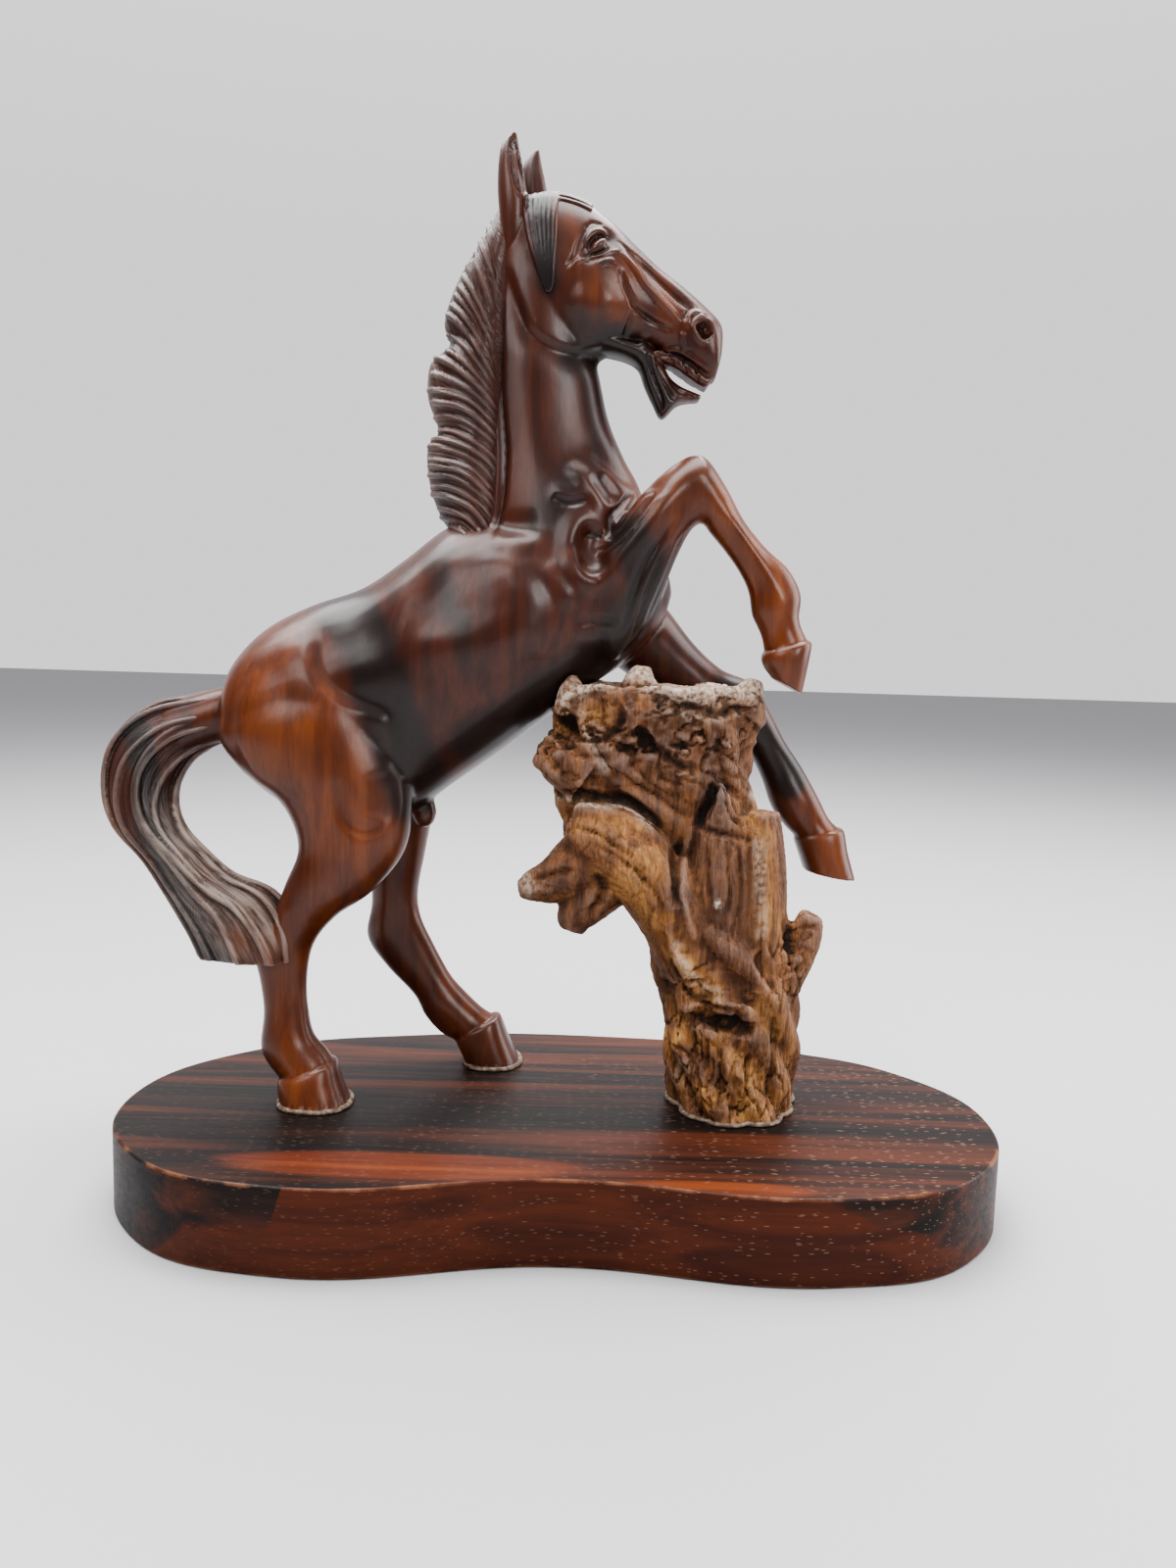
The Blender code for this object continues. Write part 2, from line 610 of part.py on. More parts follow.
def make_base(collection, material):
    """A flat plank cut to the kidney outline, with eased edges."""
    curve = bpy.data.curves.new("base", "CURVE")
    curve.dimensions = "2D"
    curve.fill_mode = "BOTH"
    curve.resolution_u = BASE_CURVE_STEPS
    curve.render_resolution_u = BASE_CURVE_STEPS
    curve.extrude = BASE_THICKNESS / 2 - BASE_EDGE
    curve.bevel_depth = BASE_EDGE
    curve.bevel_resolution = 0
    curve.offset = -BASE_EDGE
    outline = base_outline()
    spline = curve.splines.new("BEZIER")
    spline.bezier_points.add(len(outline) - 1)
    spline.use_cyclic_u = True
    for point, (x, y) in zip(spline.bezier_points, outline):
        point.co = (x, y, 0)
        point.handle_left_type = "AUTO"
        point.handle_right_type = "AUTO"
    base = bpy.data.objects.new("base", curve)
    base.location = (0, 0, BASE_THICKNESS / 2)
    curve.materials.append(material)
    collection.objects.link(base)


def place(name, mesh, collection, material):
    """Sets a piece drawn on the grid on the base, at its real size."""
    obj = bpy.data.objects.new(name, mesh)
    points, _ = read_points(mesh)
    write_points(mesh, points * GRID)
    mesh.materials.clear()
    mesh.materials.append(material)
    mesh.shade_smooth()
    obj.location = (HORSE_ALONG, HORSE_BACK, BASE_THICKNESS + SEAT_GAP)
    collection.objects.link(obj)


def wood(name, colour, roughness):
    material = bpy.data.materials.new(name)
    material.use_nodes = True
    shader = material.node_tree.nodes["Principled BSDF"]
    shader.inputs["Base Color"].default_value = (*colour, 1)
    shader.inputs["Roughness"].default_value = roughness
    shader.inputs["Metallic"].default_value = 0
    return material


def main():
    for obj in list(bpy.data.objects):
        bpy.data.objects.remove(obj, do_unlink=True)
    collection = bpy.data.collections.new("wooden_horse_sculpture")
    bpy.context.scene.collection.children.link(collection)
    horse = carve_horse()
    stump = carve_stump(horse)
    place("horse", horse, collection, wood("polished_rosewood", (0.13, 0.045, 0.025), 0.3))
    place("stump", stump, collection, wood("raw_root_wood", (0.36, 0.17, 0.07), 0.85))
    make_base(collection, wood("striped_ebony", (0.06, 0.025, 0.018), 0.35))


main()
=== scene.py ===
# %% [markdown]
# # A carved wooden horse, rearing over a root-wood stump
#
# The real thing is three pieces of wood. The horse, with its mane and tail, is cut from one
# dark red-brown block and rubbed to a satin gloss. Its chest lies over a stump of raw, eroded
# root wood, and both stand on a polished plank with a kidney-shaped outline.
#
# A carver cuts the big masses first, then the muscles, and leaves the hair to the end. This
# notebook works in the same order. Limbs are lofts that are melted into one skin, muscles are
# strokes of a gouge, and locks of hair are swept along guide lines.
#
# ## The frame that everything hangs on
#
# The construction model is loaded first and is never moved or changed. The carved pieces are
# built in its place, and its box tells at the end whether they have grown.

# %% Load the frame and measure it
import json
import math

import bmesh
import bpy
import numpy as np
from mathutils import Matrix, Vector
from mathutils.bvhtree import BVHTree

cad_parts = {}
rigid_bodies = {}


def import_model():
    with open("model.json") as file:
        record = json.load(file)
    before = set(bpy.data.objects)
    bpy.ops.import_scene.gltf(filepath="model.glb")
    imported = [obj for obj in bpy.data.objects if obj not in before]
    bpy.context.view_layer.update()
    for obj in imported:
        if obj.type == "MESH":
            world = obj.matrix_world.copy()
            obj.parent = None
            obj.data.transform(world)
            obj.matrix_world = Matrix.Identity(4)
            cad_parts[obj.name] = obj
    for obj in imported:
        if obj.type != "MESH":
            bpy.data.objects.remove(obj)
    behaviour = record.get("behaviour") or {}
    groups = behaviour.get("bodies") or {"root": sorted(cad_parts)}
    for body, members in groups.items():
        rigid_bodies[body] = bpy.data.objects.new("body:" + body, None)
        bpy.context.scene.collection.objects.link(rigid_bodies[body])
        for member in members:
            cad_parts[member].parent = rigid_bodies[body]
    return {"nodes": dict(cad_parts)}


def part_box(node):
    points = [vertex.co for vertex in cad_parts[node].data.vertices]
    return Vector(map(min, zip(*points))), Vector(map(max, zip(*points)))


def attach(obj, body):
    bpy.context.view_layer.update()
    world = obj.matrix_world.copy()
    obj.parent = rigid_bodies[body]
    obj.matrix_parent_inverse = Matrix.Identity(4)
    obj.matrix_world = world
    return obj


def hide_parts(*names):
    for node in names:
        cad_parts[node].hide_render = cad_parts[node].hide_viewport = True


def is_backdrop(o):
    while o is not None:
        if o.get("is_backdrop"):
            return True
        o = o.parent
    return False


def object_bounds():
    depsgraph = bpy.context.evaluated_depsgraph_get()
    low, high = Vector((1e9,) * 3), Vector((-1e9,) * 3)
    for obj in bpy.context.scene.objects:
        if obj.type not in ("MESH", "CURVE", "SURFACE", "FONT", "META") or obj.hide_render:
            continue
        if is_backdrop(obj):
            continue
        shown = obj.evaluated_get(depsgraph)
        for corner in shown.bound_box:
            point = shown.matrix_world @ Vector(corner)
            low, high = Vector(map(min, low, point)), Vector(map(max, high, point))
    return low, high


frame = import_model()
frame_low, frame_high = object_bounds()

MM_PER_M = 1000
for node in sorted(frame["nodes"]):
    low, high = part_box(node)
    print(node, "is", [round((b - a) * MM_PER_M, 1) for a, b in zip(low, high)], "mm")

# %% [markdown]
# ## One grid for the carving
#
# The horse and its stump are drawn on a grid with 287 steps to the height of the horse, so a
# step is about a millimetre. x runs towards the head, z runs up from the plank, and y is
# measured from the middle of the horse. Working in steps keeps the numbers easy to read, and
# the finished mesh is scaled to metres once, at the end.

# %% The grid, and where it stands on the plank
HORSE_HEIGHT = 0.287
GRID = HORSE_HEIGHT / 287
SEAT_GAP = 0.0003
PLANK_LOW, PLANK_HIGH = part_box("base")
SEAT = np.array([0.001, 0.016, PLANK_HIGH.z + SEAT_GAP])
NEAR, FAR = -1, 1
BOTH = (NEAR, FAR)
print("one step is", round(GRID * MM_PER_M, 3), "mm; the feet stand at", SEAT.round(4))

# %% [markdown]
# ## Lofts: limbs from a few stations
#
# A limb is described by a handful of stations. Each gives one edge of the limb as seen from
# the side, the opposite edge, how far the limb lies from the middle of the horse, and half its
# width across. A Catmull-Rom curve goes through the stations, and a ring of points is put at
# every step along it. That is much easier to correct than a cage of vertices, because each
# number can be checked against a side view.

# %% Rows on a smooth curve, rings round a limb
RING_SIDES = 36
RINGS_PER_STATION = 6


def smooth_rows(rows, per_span):
    """Rows on a smooth curve that goes through each given row."""
    rows = np.asarray(rows, float)
    padded = np.vstack([2 * rows[0] - rows[1], rows, 2 * rows[-1] - rows[-2]])
    out = []
    for i in range(len(rows) - 1):
        a, b, c, d = padded[i:i + 4]
        for step in range(per_span):
            share = step / per_span
            cubic = (3 * b - a - 3 * c + d) * share ** 3
            square = (2 * a - 5 * b + 4 * c - d) * share ** 2
            out.append((2 * b + (c - a) * share + square + cubic) / 2)
    out.append(rows[-1])
    return np.array(out)


def limb_rings(stations, fullness=2.0):
    """Rings across a limb. A fullness of 2 is an ellipse, less is pinched at its edges."""
    angles = np.arange(RING_SIDES) * 2 * math.pi / RING_SIDES
    power = 2.0 / fullness
    along = np.sign(np.cos(angles)) * np.abs(np.cos(angles)) ** power
    across = np.sign(np.sin(angles)) * np.abs(np.sin(angles)) ** power
    rings = []
    for x1, z1, x2, z2, y, half in smooth_rows(stations, RINGS_PER_STATION):
        x = (x1 + x2) / 2 + (x1 - x2) / 2 * along
        z = (z1 + z2) / 2 + (z1 - z2) / 2 * along
        rings.append(np.column_stack([x, y + half * across, z]))
    return rings


def ball_rings(centre, radii, tilt=0.0, steps=12):
    """An egg with the given half sizes along x, y and z, tilted as seen from the side."""
    turn = np.arange(RING_SIDES) * 2 * math.pi / RING_SIDES
    rings = []
    for step in range(1, steps):
        angle = math.pi * step / steps
        x = radii[0] * math.sin(angle) * np.cos(turn)
        y = radii[1] * math.sin(angle) * np.sin(turn)
        z = np.full(RING_SIDES, -radii[2] * math.cos(angle))
        tilted_x = x * math.cos(tilt) - z * math.sin(tilt)
        tilted_z = x * math.sin(tilt) + z * math.cos(tilt)
        rings.append(np.column_stack([tilted_x, y, tilted_z]) + centre)
    return rings

# %% [markdown]
# ## Melting lofts into one skin
#
# The lofts overlap freely. A voxel Remesh turns whatever lies inside any of them into one
# closed skin, as if they were made of wax, and a Smooth modifier softens the joins. Booleans
# could join them too, but they keep every sharp seam, which no carver would leave.

# %% Skinning lofts into meshes
def add_loft(bm, rings):
    """Skins closed rings of equal length into bm and caps both ends."""
    loops = [[bm.verts.new(p) for p in ring] for ring in rings]
    sides = len(loops[0])
    faces = [bm.faces.new(loops[0][::-1]), bm.faces.new(loops[-1])]
    for lower, upper in zip(loops, loops[1:]):
        for i in range(sides):
            j = (i + 1) % sides
            faces.append(bm.faces.new((lower[i], lower[j], upper[j], upper[i])))
    bmesh.ops.recalc_face_normals(bm, faces=faces)


def mesh_from(lofts, meshes=()):
    """One mesh that holds all the lofts and meshes, still separate and overlapping."""
    bm = bmesh.new()
    for mesh in meshes:
        bm.from_mesh(mesh)
    for rings in lofts:
        add_loft(bm, rings)
    joined = bpy.data.meshes.new("joined")
    bm.to_mesh(joined)
    bm.free()
    return joined


def evaluated(obj):
    """The object's mesh with its modifiers carried out; the object is removed."""
    graph = bpy.context.evaluated_depsgraph_get()
    graph.update()
    mesh = bpy.data.meshes.new_from_object(obj.evaluated_get(graph))
    bpy.data.objects.remove(obj)
    return mesh


def linked(name, data):
    obj = bpy.data.objects.new(name, data)
    bpy.context.scene.collection.objects.link(obj)
    return obj

# %% Modifiers that melt, rub down and thin out
def worked(mesh, *steps):
    """The mesh after its modifiers; each step is a kind of modifier and its settings."""
    obj = linked("in work", mesh)
    for kind, settings in steps:
        modifier = obj.modifiers.new(kind, kind)
        for key, value in settings.items():
            setattr(modifier, key, value)
    return evaluated(obj)


def rubbing(rounds):
    return "SMOOTH", {"iterations": rounds, "factor": 0.5}


def fuse(mesh, voxel, rounds):
    """Melts overlapping lofts into one skin, then softens where they meet."""
    return worked(mesh, ("REMESH", {"mode": "VOXEL", "voxel_size": voxel}), rubbing(rounds))


def thin_out(mesh, faces):
    """Fewer, larger triangles where the surface is calm."""
    triangles = sum(len(p.vertices) - 2 for p in mesh.polygons)
    kept = min(1.0, faces / triangles)
    return worked(mesh, ("DECIMATE", {"use_collapse_triangulate": True, "ratio": kept}))

# %% Reading, writing and storing values on the vertices
def read_points(mesh):
    """Vertex places and normals as arrays."""
    points = np.empty(len(mesh.vertices) * 3)
    normals = np.empty(len(mesh.vertices) * 3)
    mesh.vertices.foreach_get("co", points)
    mesh.vertices.foreach_get("normal", normals)
    return points.reshape(-1, 3), normals.reshape(-1, 3)


def write_points(mesh, points):
    mesh.vertices.foreach_set("co", points.ravel())
    mesh.update()


def store(mesh, name, values, kind="FLOAT"):
    """Keeps one value or vector on each vertex, under a name that node trees can read."""
    layer = mesh.attributes.new(name, kind, "POINT")
    field = "vector" if kind == "FLOAT_VECTOR" else "value"
    layer.data.foreach_set(field, np.asarray(values, float).ravel())


def surface_tree(mesh):
    return BVHTree.FromPolygons([v.co for v in mesh.vertices], [p.vertices for p in mesh.polygons])

# %% [markdown]
# ## The body, head and legs
#
# These are the masses that a carver saws and hews first. The horse leans back on its hind
# legs, so the stations of the body climb from the rump at the left to the chest at the right.

# %% Body, neck and head
TORSO = [
    (-109, 119, -107, 111, 0, 8),
    (-105, 132, -101, 98, 0, 19),
    (-95, 143, -88, 88, 0, 24),
    (-81, 150.5, -69, 84, 0, 25),
    (-66, 156, -51, 87, 0, 23),
    (-53, 165, -35, 98, 0, 25),
    (-41, 174.5, -20, 109, 0, 26),
    (-31, 178.5, -6, 120, 0, 25),
    (-17, 181, 6, 129, 0, 23),
    (-1, 181, 17, 137, 0, 20),
    (16, 177, 26, 148, 0, 14),
    (26, 168, 29, 157, 0, 6),
]
NECK = [
    (23, 166, -34, 160, 0, 20),
    (19, 186, -34, 179, 0, 16.5),
    (13, 197, -33, 197, 0, 14),
    (8, 208, -32, 213, 0, 12.5),
    (5, 220, -31, 230, 0, 11.5),
    (1.5, 234, -30, 246, 0, 11),
    (-2, 248, -28, 259, 0, 10),
    (-5, 262, -25, 268, 0, 8),
]
HEAD = [
    (-20, 270, -24, 252, 0, 7.5),
    (-12, 273, -19, 239, 0, 11),
    (-2, 271, -10, 227.5, 0, 12),
    (7.5, 264.8, 0, 224, 0, 12),
    (15, 258.2, 8.5, 227, 0, 10.5),
    (22, 252.3, 15, 230, 0, 8.5),
    (29.3, 247.2, 21, 229, 0, 7.5),
    (36, 241.8, 27, 225.5, 0, 7.4),
    (41, 236.5, 33, 221.8, 0, 7.8),
    (41.3, 229, 39, 219, 0, 6.5),
]
JAW = [
    (4, 236, 4, 227, 0, 8),
    (12.5, 232, 11.5, 225.6, 0, 7),
    (19, 230.4, 16, 223.2, 0, 6.4),
    (23, 226.2, 18.2, 218.2, 0, 5.9),
    (25.8, 221.4, 20.8, 213.2, 0, 5.3),
    (28.8, 219, 23.8, 208.8, 0, 5),
    (31.8, 217.6, 28.4, 213, 0, 4.6),
    (35.6, 216.2, 34.6, 214.2, 0, 3.2),
]
print("stations:", len(TORSO), "body,", len(NECK), "neck,", len(HEAD), "head,", len(JAW), "jaw")

# %% Legs and hooves
NEAR_HIND_LEG = [
    (-68, 141, -95, 133, -8, 9),
    (-57, 123, -107, 114, -12, 14),
    (-50, 104, -100.5, 101, -14, 13.5),
    (-48, 90, -87.5, 91, -15, 12),
    (-50, 77, -82, 78, -16, 10.5),
    (-59, 65, -86, 66, -17, 8.5),
    (-70, 57, -90, 55, -17, 6.8),
    (-77, 48, -95, 45, -17, 6.4),
    (-79, 37, -93.5, 37, -17.6, 5.6),
    (-78.4, 28, -92, 27, -18.4, 5.8),
    (-76.6, 20.2, -92.8, 16.4, -19.2, 6.7),
    (-72.8, 16.2, -89.8, 10.6, -20, 7.1),
    (-70.2, 12.4, -86.6, 7.2, -20.5, 7.6),
    (-69.6, 8, -86, 4, -20.8, 7.8),
]
FAR_HIND_LEG = [
    (-60, 130, -100, 122, 9, 12),
    (-45, 106, -92, 104, 13, 14),
    (-45, 90, -80, 86, 15, 11),
    (-48, 72, -68, 67, 17, 8),
    (-50.5, 58, -66, 54, 18, 6.6),
    (-49.5, 49, -67.5, 42, 18, 6.2),
    (-45, 39.5, -61, 32, 18, 5.8),
    (-39.5, 29.5, -51.6, 22.4, 18, 5.8),
    (-34.8, 24, -48, 15.6, 18, 6.6),
    (-28.4, 18, -42.4, 9.4, 18, 6.6),
    (-22.4, 14, -37, 6.6, 18, 7),
    (-20.6, 8, -35.8, 3, 18, 7.4),
]
NEAR_FORELEG = [
    (0, 166, 12, 136, -11, 9),
    (9, 173, 22, 149, -14, 9.5),
    (18, 185, 29, 167, -16, 8.2),
    (27, 193.5, 33, 175, -16, 7),
    (35, 196.5, 36.5, 177, -16, 7),
    (42, 188.5, 38, 174.5, -16, 6.4),
    (48, 178.5, 42.5, 169.5, -16, 5.2),
    (55, 170.5, 47.5, 163, -16, 5),
    (62, 164.5, 50.5, 157, -16, 5.6),
    (66, 157, 51.5, 151, -16, 6.6),
    (65.6, 151, 52.6, 149, -16, 6.2),
    (66.8, 147, 54.8, 144.6, -16, 5.8),
    (68.6, 143.2, 55.8, 140.2, -16, 6.5),
    (68, 137, 56.6, 136.6, -16, 6.2),
]
FAR_FORELEG = [
    (20, 163, 8, 137, 9, 9),
    (30, 151, 19, 130, 12, 9.5),
    (38, 141.5, 29, 124.5, 13, 8.5),
    (47, 134, 39, 118, 13, 7.2),
    (57, 130, 47, 113, 13, 7.2),
    (63, 121, 53.5, 110, 13, 6.6),
    (68, 112, 58, 105, 13, 5.6),
    (74, 103.5, 61.5, 98, 13, 5.6),
    (79.4, 94.6, 64.6, 90, 13, 6.6),
    (84, 86.4, 69.8, 83.4, 13, 6.2),
    (88, 82.8, 73, 80.4, 13, 6.8),
    (89, 78, 74, 76, 13, 7),
]

# %% Hooves and sheath
HOOVES = {
    "near_hind": [
        (-69.4, 12.2, -86.8, 6.6, -20.5, 8.2),
        (-67.6, 6.6, -86.8, 3.6, -21, 9.2),
        (-65, 0, -86, 0, -21.5, 10),
    ],
    "far_hind": [
        (-22.2, 15.4, -37.4, 8, 18, 7.6),
        (-19.4, 8.4, -36, 4.4, 18, 8.8),
        (-15.6, 0, -33.6, 0, 18, 9.8),
    ],
    "near_fore": [
        (69.6, 143.2, 55.2, 139.2, -16, 7.2),
        (69.2, 139, 55.8, 136.2, -16, 7.6),
        (67.4, 128, 58.6, 132.6, -16, 6.6),
    ],
    "far_fore": [
        (88.7, 82.8, 72.6, 80.2, 13, 7),
        (90.2, 76, 74.2, 75.4, 13, 7.8),
        (93, 67, 76.2, 70, 13, 8.4),
    ],
}
HOOF_FULLNESS = 2.4
SHEATH_AT = (-46.5, 0, 87)
SHEATH_RADII = (4.2, 4.2, 5.5)

# %% Melt the masses together
BODY_VOXEL = 0.8
BODY_SOFTENING = 12
masses = [limb_rings(part) for part in (TORSO, NECK, HEAD, NEAR_HIND_LEG, FAR_HIND_LEG)]
masses += [limb_rings(part) for part in (NEAR_FORELEG, FAR_FORELEG)]
masses.append(ball_rings(SHEATH_AT, SHEATH_RADII))
body = fuse(mesh_from(masses), BODY_VOXEL, BODY_SOFTENING)
body_tree = surface_tree(body)
print("the bare body has", len(body.polygons), "faces")

# %% [markdown]
# ## Locks of hair, and every other raised line
#
# The mane and tail are long locks that lie side by side. Each lock is a line to follow and a
# thickness, which is what Geometry Nodes are good at: the tree below takes guide lines,
# sweeps a ring along each, and makes some locks a little thicker than others. The forelock
# and the beads of glue under the hooves come out of the same tree later.

# %% Helpers for node trees of every kind
def add(tree, kind, inputs=None, **settings):
    """Adds a node; an input is either a value or the socket that feeds it."""
    node = tree.nodes.new(kind)
    for key, value in settings.items():
        setattr(node, key, value)
    for key, value in (inputs or {}).items():
        if isinstance(value, bpy.types.NodeSocket):
            tree.links.new(value, node.inputs[key])
        else:
            node.inputs[key].default_value = value
    return node


def calc(tree, operation, a, b=0.0, clamp=False):
    return add(tree, "ShaderNodeMath", {0: a, 1: b}, operation=operation, use_clamp=clamp).outputs[0]


def chain(tree, operation, terms, clamp):
    """One operation from term to term; only the last result is clamped."""
    total = terms[0]
    for count, term in enumerate(terms[1:], 2):
        total = calc(tree, operation, total, term, clamp and count == len(terms))
    return total


def times(tree, *terms, clamp=False):
    return chain(tree, "MULTIPLY", terms, clamp)


def plus(tree, *terms, clamp=False):
    return chain(tree, "ADD", terms, clamp)


def spread(tree, value, low, high, to_low=0.0, to_high=1.0):
    wanted = {0: value, 1: low, 2: high, 3: to_low, 4: to_high}
    return add(tree, "ShaderNodeMapRange", wanted, interpolation_type="SMOOTHSTEP").outputs[0]


def named(tree, name, kind="FLOAT"):
    """A value that was stored on the points under this name."""
    wanted = {"Name": name}
    return add(tree, "GeometryNodeInputNamedAttribute", wanted, data_type=kind).outputs["Attribute"]

# %% Making a tree, and sending a mesh through it
def new_tree(kind, name, ins, outs):
    """An empty tree, its input and output nodes, and the identifiers of its inputs."""
    tree = bpy.data.node_groups.new(name, kind)
    identifiers = {}
    for label, (holds, start) in ins.items():
        socket = tree.interface.new_socket(label, in_out="INPUT", socket_type="NodeSocket" + holds)
        if start is not None:
            socket.default_value = start
        identifiers[label] = socket.identifier
    for label, holds in outs.items():
        tree.interface.new_socket(label, in_out="OUTPUT", socket_type="NodeSocket" + holds)
    given = tree.nodes.new("NodeGroupInput").outputs
    result = tree.nodes.new("NodeGroupOutput").inputs
    return tree, given, result, identifiers


def through_tree(mesh, tree, identifiers, wanted):
    """The mesh after a Geometry Nodes tree; each input is set by its identifier."""
    obj = linked("growing", mesh)
    modifier = obj.modifiers.new("tree", "NODES")
    modifier.node_group = tree
    for label, value in wanted.items():
        modifier[identifiers[label]] = value
    return evaluated(obj)


def painted_mesh(tree, geometry, material):
    """The end of both trees: real geometry with its material set."""
    real = add(tree, "GeometryNodeRealizeInstances", {"Geometry": geometry}).outputs[0]
    return add(tree, "GeometryNodeSetMaterial", {"Geometry": real, "Material": material}).outputs[0]

# %% A Geometry Nodes tree that sweeps a lock along each guide line
LOCK_TREE, given, result, LOCK_INPUTS = new_tree("GeometryNodeTree", "swept locks", {
    "Guides": ("Geometry", None),
    "Thickness": ("Float", 1.0),
    "Unevenness": ("Float", 0.2),
    "Sides": ("Int", 10),
    "Step": ("Float", 0.8),
    "Seed": ("Int", 1),
    "Wood": ("Material", None),
}, {"Locks": "Geometry"})
tree = LOCK_TREE
lines = add(tree, "GeometryNodeMeshToCurve", {"Mesh": given["Guides"]}).outputs[0]
lines = add(tree, "GeometryNodeCurveSplineType", {"Curve": lines}, spline_type="CATMULL_ROM").outputs[0]
wanted = {"Curve": lines, "Length": given["Step"]}
lines = add(tree, "GeometryNodeResampleCurve", wanted, mode="LENGTH").outputs[0]
wanted = {"Min": -1.0, "Max": 1.0, "ID": named(tree, "lock", "INT"), "Seed": given["Seed"]}
chance = add(tree, "FunctionNodeRandomValue", wanted, data_type="FLOAT").outputs[1]
wanted = {0: chance, 1: given["Unevenness"], 2: 1.0}
swing = add(tree, "ShaderNodeMath", wanted, operation="MULTIPLY_ADD").outputs[0]
girth = times(tree, named(tree, "girth"), given["Thickness"], swing)
lines = add(tree, "GeometryNodeSetCurveRadius", {"Curve": lines, "Radius": girth}).outputs[0]
wanted = {"Resolution": given["Sides"], "Radius": 1.0}
ring = add(tree, "GeometryNodeCurvePrimitiveCircle", wanted).outputs[0]
wanted = {"Curve": lines, "Profile Curve": ring, "Fill Caps": True}
locks = add(tree, "GeometryNodeCurveToMesh", wanted).outputs[0]
tree.links.new(painted_mesh(tree, locks, given["Wood"]), result["Locks"])
HORSE_WOOD = bpy.data.materials.new("polished_rosewood")
print("the tree of locks has", len(tree.nodes), "nodes")

# %% From lists of points to a mesh of locks
def sweep_locks(lines, thickness=1.0, unevenness=0.0, sides=10, step=0.8, seed=1):
    """Each line is a list of (x, y, z, girth); the locks come back as one plain mesh."""
    points = [tuple(p[:3]) for line in lines for p in line]
    edges = []
    count = 0
    for line in lines:
        edges += [(count + i, count + i + 1) for i in range(len(line) - 1)]
        count += len(line)
    guides = bpy.data.meshes.new("guides")
    guides.from_pydata(points, edges, [])
    store(guides, "girth", [p[3] for line in lines for p in line])
    lock = guides.attributes.new("lock", "INT", "POINT")
    lock.data.foreach_set("value", [i for i, line in enumerate(lines) for _ in line])
    return through_tree(guides, LOCK_TREE, LOCK_INPUTS, {
        "Thickness": thickness,
        "Unevenness": unevenness,
        "Sides": sides,
        "Step": step,
        "Seed": seed,
        "Wood": HORSE_WOOD,
    })

# %% [markdown]
# ## The mane
#
# The mane is a thick slab along the back of the neck, in three tiers, and its locks swing
# back and up from a groove down the side of the neck. The slab is one more loft. The locks
# lie on it, half sunk, so that the valleys between them come out sharp.

# %% The slab, and the line where its locks begin
MANE = [
    (-19, 268, -27, 267, 0, 6),
    (-18, 258, -32.6, 257, 0, 8.2),
    (-18, 246, -38.8, 246, 0, 9.4),
    (-18, 235, -42.2, 235, 0, 10),
    (-18, 228, -40.5, 228.5, 0, 10.4),
    (-18, 222, -46.2, 223, 0, 10.8),
    (-18, 212, -46.8, 213, 0, 11.4),
    (-18, 203, -43.6, 203.5, 0, 11.8),
    (-18, 197, -46.8, 198, 0, 12.4),
    (-18, 187, -45.8, 187, 0, 13.2),
    (-18, 177, -41.8, 177, 0, 13.6),
    (-20, 170, -36, 170.5, 0, 13.6),
]
MANE_FULLNESS = 1.7
MANE_ROOT = [
    (-26.6, 169.6),
    (-24, 180),
    (-23.3, 194),
    (-24, 203),
    (-25.4, 216),
    (-26, 240),
    (-26.2, 263),
]
print("the slab has", len(MANE), "stations")

# %% How the locks of the mane run
MANE_BOTTOM, MANE_TOP, MANE_OVER_TOP = 169.0, 265.0, 4
MANE_LOCK_PITCH, PITCH_SWING = 2.7, 0.18
MANE_LOCK_GIRTH, GIRTH_SWING, GIRTH_LOSS = 1.55, 0.12, 0.012
MANE_LOCK_START, MANE_LOCK_REACH, MANE_LOCK_STEP = -0.6, 30, 1.2
MANE_SUNK, SUNK_SWING = 0.25, 0.3
MANE_BEDDED, MANE_PROUD = 0.2, 1.0
MANE_RISE_RUN, MANE_RISE_DEPTH = 3.0, 1.4
MANE_SWEEP, MANE_SWEEP_RUN = 14.0, 9.0
MANE_STEEP_FROM, MANE_STEEP_OVER, MANE_STEEP_SWEEP = 215.0, 30.0, 8.0
MANE_WANDER, MANE_RIPPLE = 0.03, 0.2
MANE_EDGE, EDGE_SWING = 0.5, 0.4
MANE_LEAST = 0.3
OUTSIDE = 60


def mane_rise(height, behind):
    """How far a lock has climbed once it is this far behind the line down the neck."""
    steep = np.clip((height - MANE_STEEP_FROM) / MANE_STEEP_OVER, 0, 1)
    swing = 1 - np.exp(-np.clip(behind, 0, None) / MANE_SWEEP_RUN)
    return (MANE_SWEEP + MANE_STEEP_SWEEP * steep) * swing + behind * steep


mane_rows = smooth_rows(MANE, RINGS_PER_STATION)
mane_heights = mane_rows[::-1, 3]


def mane_at(height, column):
    return np.interp(height, mane_heights, mane_rows[::-1, column])


def mane_root(height):
    """x of the line down the neck where the locks begin."""
    return np.interp(height, [z for x, z in MANE_ROOT], [x for x, z in MANE_ROOT])

# %% Lay the locks on the slab and the neck
def mane_surface(x, height, side):
    """How far from the middle of the horse the mane, or the neck in it, lies at this spot."""
    front, back = float(mane_at(height, 0)), float(mane_at(height, 2))
    across = min(1.0, abs((x - (front + back) / 2) / ((front - back) / 2)))
    widest = float(mane_at(height, 5))
    half = widest * (1 - across ** MANE_FULLNESS) ** (1 / MANE_FULLNESS)
    neck, *_ = body_tree.ray_cast(Vector((x, side * OUTSIDE, height)), Vector((0, -side, 0)))
    if neck is not None:
        half = min(max(half, neck.y * side - MANE_BEDDED), widest + MANE_PROUD)
    return half


